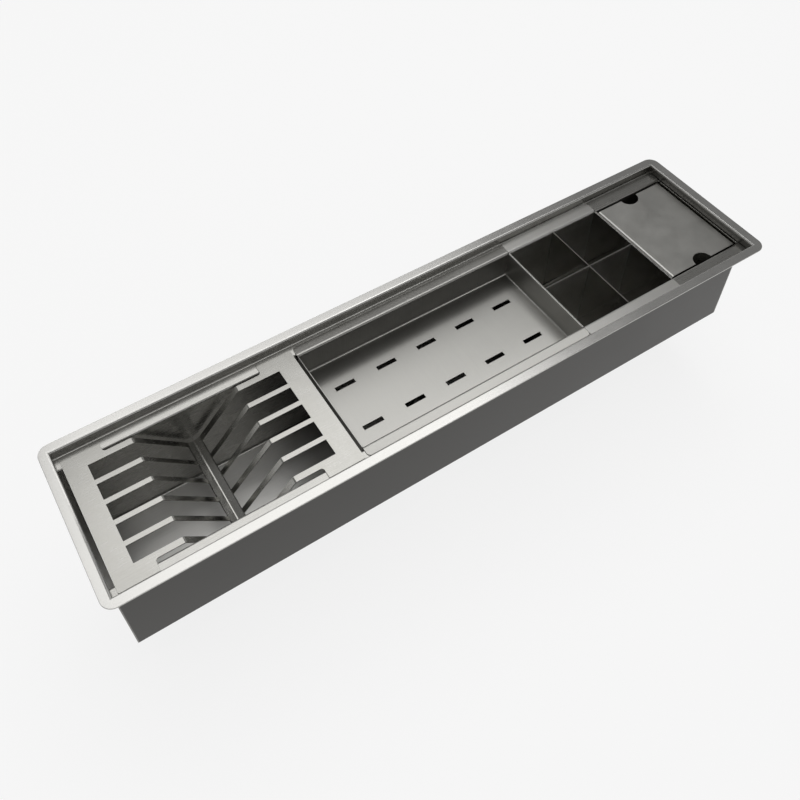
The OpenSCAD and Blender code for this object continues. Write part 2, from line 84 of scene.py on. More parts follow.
class Kind(Enum):
    """What a selection in edit mode is made of."""

    VERTICES = "verts"
    EDGES = "edges"
    FACES = "faces"


class Grain(Enum):
    """Which way the brush ran over the sheet, as the long axis of its scratches.

    A trace of the other axes keeps the direction defined on faces that the brush meets end on.
    """

    LENGTHWISE = (1.0, 0.02, 0.03)
    CROSSWISE = (0.02, 1.0, 0.03)
    UPRIGHT = (0.02, 0.03, 1.0)


# Materials


def linear(hex_colour: str) -> tuple[float, float, float, float]:
    """Turn an sRGB hex colour to the linear values that Blender takes.

    Args:
        hex_colour: colour such as "#CCCBC8".

    Returns:
        Red, green, blue and alpha, in linear light.
    """
    shares = [int(hex_colour[i:i + 2], 16) / 255 for i in (1, 3, 5)]
    red, green, blue = (s / 12.92 if s <= 0.04045 else ((s + 0.055) / 1.055) ** 2.4 for s in shares)
    return red, green, blue, 1.0


def add_node(tree: bpy.types.NodeTree, kind: str, links: dict | None = None,
             **settings: object) -> bpy.types.Node:
    """Add a node with its settings and inputs.

    Args:
        tree: node tree that gets the node.
        kind: Blender's name of the node's type.
        links: value or source socket of each input, by name or number.
        **settings: properties of the node itself.

    Returns:
        The new node.
    """
    node = tree.nodes.new(kind)
    for name, value in settings.items():
        setattr(node, name, value)
    for name, value in (links or {}).items():
        if isinstance(value, Socket):
            tree.links.new(value, node.inputs[name])
        else:
            node.inputs[name].default_value = value
    return node


def empty_material(name: str) -> tuple[bpy.types.Material, bpy.types.NodeTree]:
    """Make a material whose node tree is empty.

    Args:
        name: name of the material.

    Returns:
        The material and its node tree.
    """
    material = bpy.data.materials.new(name)
    material.use_nodes = True
    material.node_tree.nodes.clear()
    return material, material.node_tree


def per_metre(size: Point) -> Point:
    """Frequency of a pattern, in repeats per metre, from its real size in millimetres."""
    return 1 / (size[0] * MM), 1 / (size[1] * MM), 1 / (size[2] * MM)


def pattern(tree: bpy.types.NodeTree, size: Point, detail: float = 3.0) -> Socket:
    """Noise on Object coordinates at a real size.

    Args:
        tree: node tree that gets the pattern.
        size: size of one blotch along X, Y and Z, in millimetres.
        detail: number of finer layers.

    Returns:
        Socket of the noise, about 0.5 on average.
    """
    place = add_node(tree, "ShaderNodeTexCoord")
    scaled = add_node(tree, "ShaderNodeMapping",
                      {"Vector": place.outputs["Object"], "Scale": per_metre(size)})
    noise = add_node(tree, "ShaderNodeTexNoise",
                     {"Vector": scaled.outputs["Vector"], "Scale": 1.0, "Detail": detail, "Roughness": 0.6})
    return noise.outputs["Fac"]


def mottled(tree: bpy.types.NodeTree, noise: Socket, dark: str, light: str, roughness: float,
            unevenness: float) -> dict[str, Socket]:
    """Let a colour and a roughness follow a noise, which keeps mostly between 0.3 and 0.7.

    Args:
        tree: node tree that gets the nodes.
        noise: socket of the noise.
        dark: hex colour where the noise is low.
        light: hex colour where the noise is high.
        roughness: mean roughness.
        unevenness: how far the roughness falls and rises with the noise.

    Returns:
        The colour and the roughness, by the names of a Principled shader's inputs.
    """
    middle = {"Value": noise, "From Min": 0.3, "From Max": 0.7}
    limits = {"To Min": roughness - unevenness, "To Max": roughness + unevenness}
    share = add_node(tree, "ShaderNodeMapRange", middle).outputs["Result"]
    rough = add_node(tree, "ShaderNodeMapRange", middle | limits).outputs["Result"]
    # The colours of a Mix node are its inputs 6 and 7, and the mixed colour is its output 2
    mix = add_node(tree, "ShaderNodeMix", {0: share, 6: linear(dark), 7: linear(light)}, data_type="RGBA")
    return {"Base Color": mix.outputs[2], "Roughness": rough}


@dataclass(frozen=True)
class BrushedSteel:
    """Stainless steel 304, sheet brushed with an abrasive belt after folding.

    The belt leaves fine straight scratches: highlights stretch across them, and the sheet
    is a little lighter and rougher in streaks.
    """

    name: str
    grain: Grain
    light: str = "#CFCECB"
    dark: str = "#BEBDB9"
    roughness: float = 0.24
    streaks: float = 0.03
    anisotropy: float = 0.45
    # Belt scratches are about 0.1 mm wide; they are drawn 0.7 mm wide, so that they show
    scratch_len: float = 60.0
    scratch_w: float = 0.7
    scratch_depth: float = 0.001
    # Faint clouds left by handling and rolling
    cloud: float = 45.0
    # Loose sheets are a little crowned: the height lost 1 m to either side of the middle line
    crown: float = 0.0

    def build(self) -> bpy.types.Material:
        """Make the material.

        Returns:
            The material.
        """
        material, tree = empty_material(self.name)
        along = self.grain.value
        size = tuple(self.scratch_len if axis == 1.0 else self.scratch_w for axis in along)
        streaks = pattern(tree, size)
        clouds = pattern(tree, (self.cloud, self.cloud, self.cloud))
        both = add_node(tree, "ShaderNodeMath", {0: streaks, 1: clouds}, operation="ADD").outputs[0]
        half = add_node(tree, "ShaderNodeMath", {0: both, 1: 0.5}, operation="MULTIPLY").outputs[0]
        place = add_node(tree, "ShaderNodeTexCoord").outputs["Object"]
        across = add_node(tree, "ShaderNodeSeparateXYZ", {"Vector": place}).outputs["Y"]
        square = add_node(tree, "ShaderNodeMath", {0: across, 1: across}, operation="MULTIPLY").outputs[0]
        fall = add_node(tree, "ShaderNodeMath", {0: square, 1: -self.crown}, operation="MULTIPLY").outputs[0]
        relief = add_node(tree, "ShaderNodeMath", {0: streaks, 1: self.scratch_depth * MM, 2: fall},
                          operation="MULTIPLY_ADD").outputs[0]
        bump = add_node(tree, "ShaderNodeBump", {"Height": relief, "Strength": 1.0, "Distance": 1.0})
        tangent = add_node(tree, "ShaderNodeCombineXYZ", {"X": along[0], "Y": along[1], "Z": along[2]})
        shader = add_node(tree, "ShaderNodeBsdfPrincipled", {
            **mottled(tree, half, self.dark, self.light, self.roughness, self.streaks),
            "Metallic": 1.0,
            "Anisotropic": self.anisotropy,
            # A quarter turn, because a highlight runs across the scratches
            "Anisotropic Rotation": 0.25,
            "Normal": bump.outputs["Normal"],
            "Tangent": tangent.outputs["Vector"],
        })
        add_node(tree, "ShaderNodeOutputMaterial", {"Surface": shader.outputs["BSDF"]})
        return material


@dataclass(frozen=True)
class PlainFinish:
    """A finish without a direction: rolled, moulded, cast, plated or pickled.

    The surface has a fine grit from its mill, mould or bath, and wide faint clouds of colour.
    """

    name: str
    light: str
    dark: str
    metallic: float = 1.0
    roughness: float = 0.3
    unevenness: float = 0.04
    grit: float = 1.0
    grit_depth: float = 0.01
    cloud: float = 30.0

    def build(self) -> bpy.types.Material:
        """Make the material.

        Returns:
            The material.
        """
        material, tree = empty_material(self.name)
        clouds = pattern(tree, (self.cloud, self.cloud, self.cloud))
        grit = pattern(tree, (self.grit, self.grit, self.grit), detail=2.0)
        bump = add_node(tree, "ShaderNodeBump",
                        {"Height": grit, "Strength": 1.0, "Distance": self.grit_depth * MM})
        shader = add_node(tree, "ShaderNodeBsdfPrincipled", {
            **mottled(tree, clouds, self.dark, self.light, self.roughness, self.unevenness),
            "Metallic": self.metallic,
            "Normal": bump.outputs["Normal"],
        })
        add_node(tree, "ShaderNodeOutputMaterial", {"Surface": shader.outputs["BSDF"]})
        return material


class Finishes:
    """The finishes of the whole part, each made once."""

    def __init__(self) -> None:
        """Make every material."""
        # Rim: the lightest sheet, with a satin sheen that stays even along its length
        self.rim = BrushedSteel("stainless steel rim, brushed lengthwise", Grain.LENGTHWISE,
                                light="#BEBDBA", dark="#B6B5B2").build()
        # Channel's inner side: the same sheet, a little darker as painted shade for the recess
        self.channel = BrushedSteel("stainless steel channel, brushed lengthwise", Grain.LENGTHWISE,
                                    light="#B0AFAB", dark="#A09F9B", roughness=0.27).build()
        # Channel's floor: duller than the walls, and lighter than them as painted light
        self.channel_floor = BrushedSteel("stainless steel channel floor, scoured lengthwise",
                                          Grain.LENGTHWISE, light="#CBCAC7", dark="#B9B8B5",
                                          roughness=0.38, streaks=0.05, cloud=60.0).build()
        # End plates, brushed up and down before they were welded in
        self.upright = BrushedSteel("stainless steel end plate, brushed upright", Grain.UPRIGHT,
                                    light="#8F8E8B", dark="#757471", roughness=0.3).build()
        # Rack: laser-cut sheet with fine mill clouds under the brushing
        self.rack = BrushedSteel("stainless steel rack, brushed lengthwise", Grain.LENGTHWISE,
                                 light="#ABAAA6", dark="#9A9994", roughness=0.26, cloud=18.0,
                                 crown=0.2).build()
        # Tray: a duller satin, whose wide highlight fades towards its back wall
        self.tray = BrushedSteel("stainless steel tray, brushed crosswise", Grain.CROSSWISE,
                                 light="#ABAAA6", dark="#A2A19D", roughness=0.35, anisotropy=0.65,
                                 crown=0.6, scratch_depth=0.0008, cloud=60.0).build()
        # Tray's long walls: darker than the tray's floor as painted shade, with a soft sheen
        self.tray_wall = BrushedSteel("stainless steel tray wall, brushed upright", Grain.UPRIGHT,
                                      light="#7F7E7B", dark="#6F6E6B", roughness=0.3, cloud=50.0).build()
        # Wings of the cutlery box: lighter than the bin's wings as painted light
        self.box_wing = BrushedSteel("stainless steel box wing, brushed lengthwise", Grain.LENGTHWISE,
                                     light="#C2C1BE", dark="#B6B5B1", roughness=0.36,
                                     crown=0.15).build()
        # Wings of the waste bin: darker than the box's wings as painted shade
        self.bin_wing = BrushedSteel("stainless steel bin wing, brushed lengthwise", Grain.LENGTHWISE,
                                     light="#9D9C98", dark="#908F8B", roughness=0.28).build()
        # Ends and floors of the deep boxes: a bright cold-rolled skin that mirrors what is across it
        self.inside = PlainFinish("stainless steel box end, cold rolled bright", "#B4B3AF", "#A8A7A3",
                                  roughness=0.14, unevenness=0.02, grit=9.0, grit_depth=0.001,
                                  cloud=40.0).build()
        # Long walls of the deep boxes: a rolled satin that holds the light from the mouth, and lighter than
        # the ends as painted light
        self.inside_wall = PlainFinish("stainless steel box wall, rolled satin", "#D0CFCC", "#C3C2BE",
                                       roughness=0.34, grit=6.0, grit_depth=0.001, cloud=40.0).build()
        # Upper edges of the dividers, as the laser left them: fine grooves, matt and grey
        self.cut_edge = PlainFinish("stainless steel edge, laser cut", "#6E6C69", "#5B5957", roughness=0.5,
                                    grit=0.4, cloud=8.0).build()
        # Lid: an even grey satin with the faint clouds of a rolled sheet
        self.lid = PlainFinish("stainless steel lid, rolled satin", "#A9A8A4", "#A2A19D", roughness=0.33,
                               unevenness=0.03, grit=4.0, grit_depth=0.0008, cloud=28.0).build()
        # Outer side of the channel, left dull: dark grey as painted shade, with soft wide reflections
        self.outer = PlainFinish("stainless steel, pickled dull", "#4D4C4A", "#444341", roughness=0.38,
                                 grit=0.8, grit_depth=0.003, cloud=120.0).build()
        # Turned parts of the strainer, bright with rings too fine to see
        self.turned = PlainFinish("stainless steel, polished", "#D2D1CE", "#C8C7C4", roughness=0.16).build()
        # Moulded EPDM rubber: near black, with a dry sheen
        self.rubber = PlainFinish("EPDM rubber, moulded", "#242423", "#1B1B1A", metallic=0.0,
                                  roughness=0.62, grit_depth=0.03).build()
        # Moulded polythene: milky white, waxy
        self.plastic = PlainFinish("polythene, moulded", "#E6E4DC", "#DCDAD1", metallic=0.0,
                                   roughness=0.4).build()
        # Die-cast zinc: dull grey metal with a sandy skin
        self.cast = PlainFinish("zinc, die-cast", "#A9A8A5", "#9A9996", roughness=0.42,
                                grit_depth=0.03).build()
        # Chromium on brass: bright and slightly cool
        self.chrome = PlainFinish("brass, chromium-plated", "#DDDEE0", "#D6D7D9", roughness=0.07,
                                  unevenness=0.02, grit_depth=0.002).build()


# Workbench


@dataclass(frozen=True)
class Corner:
    """A corner of a drawn section, with the radius of the fold there."""

    place: Point
    radius: float = 0.0
    segments: int = 4


def rest() -> None:
    """Leave edit mode and deselect everything."""
    if bpy.context.object is not None and bpy.context.object.mode != "OBJECT":
        bpy.ops.object.mode_set(mode="OBJECT")
    bpy.ops.object.select_all(action="DESELECT")


def spot(place: Point) -> Span:
    """Span that holds one place."""
    return place, place


def cutback(before: Vector, corner: Vector, after: Vector, radius: float) -> float:
    """Distance from a corner at which a fold of the given radius starts.

    Args:
        before: the point before the corner.
        corner: the corner.
        after: the point after the corner.
        radius: radius of the fold.

    Returns:
        The distance along both sides.
    """
    return radius * math.tan((corner - before).angle(after - corner) / 2)


class Workpiece:
    """One mesh on the bench, shaped in edit mode as by hand."""

    def __init__(self, obj: bpy.types.Object) -> None:
        """Take an object on the bench."""
        self.obj = obj

    @classmethod
    def placed(cls, name: str, low: Point, high: Point) -> "Workpiece":
        """Bring the newest primitive, of size 1, to its name, size and place.

        Args:
            name: name of the piece.
            low: its lowest corner.
            high: its highest corner, at the same height if the primitive is level.

        Returns:
            The piece.
        """
        obj = bpy.context.object
        obj.name = obj.data.name = name
        start, end = Vector(low), Vector(high)
        obj.location = (start + end) / 2 * MM
        obj.scale = [size * MM if size > 0 else 1.0 for size in end - start]
        bpy.ops.object.transform_apply(location=True, rotation=True, scale=True)
        return cls(obj)

    @classmethod
    def block(cls, name: str, low: Point, high: Point) -> "Workpiece":
        """Start from a cube primitive between two corners.

        Args:
            name: name of the piece.
            low: its lowest corner.
            high: its highest corner.

        Returns:
            The piece.
        """
        rest()
        bpy.ops.mesh.primitive_cube_add(size=1)
        return cls.placed(name, low, high)

    @classmethod
    def rod(cls, name: str, radius: float, low: Point, height: float, sides: int) -> "Workpiece":
        """Start from an upright cylinder primitive.

        Args:
            name: name of the piece.
            radius: its radius.
            low: middle of its lower end.
            height: its height.
            sides: number of its sides.

        Returns:
            The piece.
        """
        rest()
        bpy.ops.mesh.primitive_cylinder_add(vertices=sides, radius=0.5, depth=1)
        corner = (low[0] - radius, low[1] - radius, low[2])
        return cls.placed(name, corner, (low[0] + radius, low[1] + radius, low[2] + height))

    @classmethod
    def trace(cls, name: str, corners: Sequence[Corner], closed: bool = False) -> "Workpiece":
        """Draw a section: one point, extruded from corner to corner, then rounded at its folds.

        Args:
            name: name of the piece.
            corners: the corners in order.
            closed: True to join the last corner to the first.

        Returns:
            The piece, a line of edges.
        """
        rest()
        bpy.ops.mesh.primitive_plane_add(size=1)
        piece = cls.placed(name, (-1, -1, 0), (1, 1, 0))
        places = [Vector(corner.place) for corner in corners]
        with piece.shaping():
            bpy.ops.mesh.select_all(action="SELECT")
            bpy.ops.mesh.merge(type="CENTER")
            bpy.ops.transform.translate(value=places[0] * MM)
            for start, end in zip(places, places[1:]):
                piece.extrude(*(end - start))
            if closed:
                piece.pick(Kind.VERTICES, spot(places[0]), spot(places[-1]))
                bpy.ops.mesh.edge_face_add()
            for i, corner in enumerate(corners):
                if corner.radius > 0:
                    following = places[(i + 1) % len(places)]
                    distance = cutback(places[i - 1], places[i], following, corner.radius)
                    piece.pick(Kind.VERTICES, spot(places[i]))
                    piece.bevel(distance, corner.segments, affect="VERTICES")
        return piece

    def take(self) -> None:
        """Take this piece alone in hand."""
        rest()
        self.obj.select_set(True)
        bpy.context.view_layer.objects.active = self.obj

    @contextmanager
    def shaping(self) -> Iterator[None]:
        """Hold this piece alone in edit mode."""
        self.take()
        bpy.context.tool_settings.mesh_select_mode = (True, False, False)
        bpy.ops.object.mode_set(mode="EDIT")
        yield
        bpy.ops.object.mode_set(mode="OBJECT")

    def pick(self, kind: Kind, *spans: Span) -> None:
        """Select only what lies wholly inside one of some spans.

        Args:
            kind: vertices, edges or faces.
            *spans: lowest and highest corner of each span.

        Raises:
            ValueError: if nothing lies in a span.
        """
        bpy.context.tool_settings.mesh_select_mode = [kind is each for each in Kind]
        bpy.ops.mesh.select_all(action="DESELECT")
        mesh = bmesh.from_edit_mesh(self.obj.data)
        for low, high in spans:
            found = [each for each in getattr(mesh, kind.value) if all(
                low[i] - SLACK <= end.co[i] / MM <= high[i] + SLACK
                for end in ([each] if kind is Kind.VERTICES else each.verts) for i in range(3))]
            if not found:
                raise ValueError(f"{self.obj.name}: no {kind.value} from {tuple(low)} to {tuple(high)}")
            for each in found:
                each.select_set(True)
        mesh.select_flush_mode()
        bmesh.update_edit_mesh(self.obj.data)

    @staticmethod
    def extrude(x: float = 0.0, y: float = 0.0, z: float = 0.0) -> None:
        """Extrude what is selected by a distance along each axis."""
        bpy.ops.mesh.extrude_region_move(TRANSFORM_OT_translate={"value": (x * MM, y * MM, z * MM)})

    @staticmethod
    def bevel(distance: float, segments: int = 4, affect: str = "EDGES") -> None:
        """Round what is selected, over a distance to each side."""
        bpy.ops.mesh.bevel(offset=distance * MM, segments=segments, affect=affect, offset_type="OFFSET")

    @staticmethod
    def bisect(place: Point, normal: Point) -> None:
        """Cut new edges through the whole mesh along a plane.

        Args:
            place: a point on the plane.
            normal: direction that the plane faces.
        """
        bpy.ops.mesh.select_all(action="SELECT")
        bpy.ops.mesh.bisect(plane_co=Vector(place) * MM, plane_no=normal)

    @staticmethod
    def weld() -> None:
        """Merge vertices that share a place."""
        bpy.ops.mesh.select_all(action="SELECT")
        bpy.ops.mesh.remove_doubles(threshold=SLACK * MM)

    @staticmethod
    def face_out() -> None:
        """Turn every face outwards."""
        bpy.ops.mesh.select_all(action="SELECT")
        bpy.ops.mesh.normals_make_consistent(inside=False)

    def sweep(self, x: float = 0.0, y: float = 0.0) -> None:
        """Extrude the whole drawing by a distance along X and Y."""
        with self.shaping():
            bpy.ops.mesh.select_all(action="SELECT")
            self.extrude(x, y)

    def turn(self, steps: int) -> None:
        """Spin the drawing into a closed turned form and face it outwards.

        Args:
            steps: number of steps in the full turn.
        """
        with self.shaping():
            bpy.ops.mesh.select_all(action="SELECT")
            bpy.ops.mesh.spin(steps=steps, dupli=False, angle=math.tau, center=(0, 0, 0), axis=(0, 0, 1))
            self.weld()
            self.face_out()

    def ring_of(self, count: int) -> None:
        """Copy the whole mesh round the origin's upright axis.

        Args:
            count: number of copies in the full turn, with the first.
        """
        with self.shaping():
            bpy.ops.mesh.select_all(action="SELECT")
            bpy.ops.mesh.spin(steps=count - 1, dupli=True, angle=math.tau * (count - 1) / count,
                              center=(0, 0, 0), axis=(0, 0, 1))

    def row_of(self, count: int, pitch: float) -> None:
        """Copy the whole mesh in a row along X.

        Args:
            count: number of copies, with the first.
            pitch: distance from each to the next.
        """
        with self.shaping():
            bpy.ops.mesh.select_all(action="SELECT")
            for _ in range(count - 1):
                bpy.ops.mesh.duplicate_move(TRANSFORM_OT_translate={"value": (pitch * MM, 0, 0)})

    def face_up(self) -> None:
        """Turn the faces of an open sheet so that its level parts face up."""
        with self.shaping():
            self.weld()
            self.face_out()
            mesh = bmesh.from_edit_mesh(self.obj.data)
            if sum(face.normal.z * face.calc_area() for face in mesh.faces) < 0:
                bpy.ops.mesh.flip_normals()

    def modify(self, kind: str, **settings: object) -> None:
        """Add a modifier and apply it.

        Args:
            kind: Blender's name of the modifier's type.
            **settings: properties of the modifier.
        """
        self.take()
        bpy.ops.object.modifier_add(type=kind)
        modifier = self.obj.modifiers[-1]
        for name, value in settings.items():
            setattr(modifier, name, value)
        bpy.ops.object.modifier_apply(modifier=modifier.name)

    def thicken(self, thickness: float, two_sided: bool = False) -> None:
        """Give a sheet its thickness on the side that its faces turn away from.

        Args:
            thickness: thickness of the sheet.
            two_sided: True if its other side has the piece's second material.
        """
        self.modify("SOLIDIFY", thickness=thickness * MM, offset=-1.0, use_even_offset=True,
                    material_offset=int(two_sided))
        with self.shaping():
            self.weld()

    def cut(self, *cutters: "Workpiece") -> None:
        """Take the shape of other pieces out of this one and scrap them.

        Args:
            *cutters: the pieces to take out.
        """
        for cutter in cutters:
            self.modify("BOOLEAN", operation="DIFFERENCE", solver="EXACT", object=cutter.obj)
            bpy.data.objects.remove(cutter.obj)

    def clean(self) -> None:
        """Merge doubles and take out the faces without a size that a cut can leave."""
        with self.shaping():
            self.weld()
            bpy.ops.mesh.dissolve_degenerate(threshold=SLACK * MM)

    def add(self, *others: "Workpiece") -> None:
        """Join other pieces to this one.

        Args:
            *others: the pieces to join.
        """
        self.take()
        for piece in others:
            piece.obj.select_set(True)
        bpy.ops.object.join()

    def paint(self, slot: int, low: Point, high: Point) -> None:
        """Give the faces between two corners another of the piece's materials.

        Args:
            slot: number of the material.
            low: lowest corner.
            high: highest corner.
        """
        with self.shaping():
            self.pick(Kind.FACES, (low, high))
            self.obj.active_material_index = slot
            bpy.ops.object.material_slot_assign()

    def dress(self, *materials: bpy.types.Material) -> None:
        """Give the piece its materials, the first for its upper or inner side."""
        self.obj.data.materials.clear()
        for material in materials:
            self.obj.data.materials.append(material)

    def smooth(self, edge: float) -> None:
        """Break the sharp edges and smooth the folds, with the flat faces kept flat.

        Args:
            edge: width of the broken edges, or 0 for none.
        """
        if edge > 0:
            self.modify("BEVEL", width=edge * MM, segments=2, limit_method="ANGLE",
                        angle_limit=math.radians(BROKEN_ABOVE), use_clamp_overlap=False)
        self.take()
        bpy.ops.object.shade_smooth_by_angle(angle=math.radians(SHARP_ABOVE))
        self.modify("WEIGHTED_NORMAL", mode="FACE_AREA", weight=50, keep_sharp=True)

    def hand_over(self, body: str, slot: str, *nodes: str, edge: float = 0.0) -> "Workpiece":
        """Smooth the finished piece and put it in the frame.

        Args:
            body: CAD body that it moves with.
            slot: material slot of the record; not used.
            *nodes: CAD nodes that it replaces.
            edge: width of its broken edges, or 0 for none.

        Returns:
            The piece itself.
        """
        self.smooth(edge)
        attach(self.obj, body)
        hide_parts(*nodes)
        return self


def node_box(node: str) -> tuple[Vector, Vector]:
    """Lowest and highest corner of a CAD node, in millimetres."""
    low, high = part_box(node)
    return low / MM, high / MM


# Sub-assemblies


@dataclass
class Trough:
    """The fixed channel: rim, one folded long sheet and two end plates."""

    finishes: Finishes
    sheet_t: float = 1.5
    rim_corner: float = 15.5
    rim_edge: float = 0.5
    rim_fold: float = 3.0
    # How far the rim's inner fold hangs below its upper side
    neck: float = 4.5
    # Ledges that carry the loose pieces: width, and height of their upper side
    ledge_w: float = 18.5
    ledge_z: float = -13.5
    ledge_fold: float = 3.0
    root_fold: float = 1.5
    floor_fold: float = 2.5
    drain_r: float = 45.0

    def build(self) -> list[Workpiece]:
        """Make the pieces.

        Returns:
            The finished pieces.
        """
        return [
            self.rim(),
            self.channel(),
            self.end_plate("left_end_panel", -1),
            self.end_plate("right_end_panel", 1),
        ]

    def rim(self) -> Workpiece:
        """Flat ring on the worktop, with rounded corners, folded down into the recess on its inner side.

        Returns:
            The finished piece.
        """
        low, high = node_box("rim_flange")
        neck = node_box("right_end_panel")[1]
        inner_x, inner_y = neck.x - self.sheet_t, neck.y - self.sheet_t
        foot_z = high.z - self.neck
        corners = [(x, y) for x in (low.x, high.x) for y in (low.y, high.y)]
        piece = Workpiece.block("rim", (low.x, low.y, foot_z), high)
        with piece.shaping():
            piece.pick(Kind.EDGES, *(((*corner, foot_z), (*corner, high.z)) for corner in corners))
            piece.bevel(self.rim_corner, segments=10)
            piece.pick(Kind.EDGES, ((low.x, low.y, high.z), (high.x, high.y, high.z)))
            piece.bevel(self.rim_edge, segments=3)
        waste = Workpiece.block("waste", (low.x - CLEAR, low.y - CLEAR, foot_z - CLEAR),
                                (high.x + CLEAR, high.y + CLEAR, low.z))
        waste.cut(Workpiece.block("core", (-neck.x, -neck.y, foot_z - 2 * CLEAR),
                                  (neck.x, neck.y, high.z)))
        piece.cut(waste, Workpiece.block("opening", (-inner_x, -inner_y, foot_z - CLEAR),
                                         (inner_x, inner_y, high.z + CLEAR)))
        with piece.shaping():
            piece.pick(Kind.EDGES, ((-inner_x, -inner_y, high.z), (inner_x, inner_y, high.z)))
            piece.bevel(self.rim_fold, segments=6)
        piece.dress(self.finishes.rim)
        return piece.hand_over("trough", "trough_steel", "rim_flange")

    def channel(self) -> Workpiece:
        """Long sheet with recess walls, ledges, long walls and floor, folded from one blank.

        Returns:
            The finished piece.
        """
        low, high = node_box("channel_shell")
        wall_y = high.y - self.sheet_t - self.ledge_w
        floor_z = low.z + self.sheet_t
        side = [
            (high.y - self.sheet_t, high.z - self.neck, 0.0),
            (high.y - self.sheet_t, self.ledge_z, self.root_fold),
            (wall_y, self.ledge_z, self.ledge_fold),
            (wall_y, floor_z, self.floor_fold),
        ]
        whole = [(-y, z, radius) for y, z, radius in side] + side[::-1]
        corners = [Corner((low.x, y, z), radius, segments=5) for y, z, radius in whole]
        piece = Workpiece.trace("channel", corners)
        piece.sweep(x=high.x - low.x)
        piece.face_up()
        piece.dress(self.finishes.channel, self.finishes.outer, self.finishes.channel_floor)
        piece.thicken(self.sheet_t, two_sided=True)
        piece.paint(2, (low.x, -wall_y, floor_z), (high.x, wall_y, floor_z))
        piece.cut(Workpiece.rod("drain_hole", self.drain_r, (0, 0, low.z - CLEAR), 2 * CLEAR, sides=96))
        return piece.hand_over("trough", "trough_steel", "channel_shell")

    def end_plate(self, node: str, side: int) -> Workpiece:
        """Flat plate with the stepped outline of the channel.

        Args:
            node: CAD node that the plate replaces.
            side: 1 at the right end, -1 at the left.

        Returns:
            The finished piece.
        """
        low, high = node_box(node)
        inner_x, outer_x = (low.x, high.x) if side > 0 else (high.x, low.x)
        wall_y = high.y - self.ledge_w
        step_z = self.ledge_z - self.sheet_t
        half = [
            (high.y, high.z - self.neck, 0.0),
            (high.y, step_z, self.root_fold + self.sheet_t),
            (wall_y, step_z, 0.0),
            (wall_y, low.z, self.floor_fold + self.sheet_t),
        ]
        outline = half + [(-y, z, radius) for y, z, radius in half[::-1]]
        corners = [Corner((inner_x, y, z), radius) for y, z, radius in outline]
        piece = Workpiece.trace(node.replace("panel", "plate"), corners, closed=True)
        with piece.shaping():
            bpy.ops.mesh.select_all(action="SELECT")
            bpy.ops.mesh.edge_face_add()
            piece.extrude(x=outer_x - inner_x)
            piece.face_out()
        piece.dress(self.finishes.upright, self.finishes.outer)
        piece.paint(1, (outer_x, low.y, low.z), (outer_x, high.y, high.z))
        return piece.hand_over("trough", "trough_steel", node)


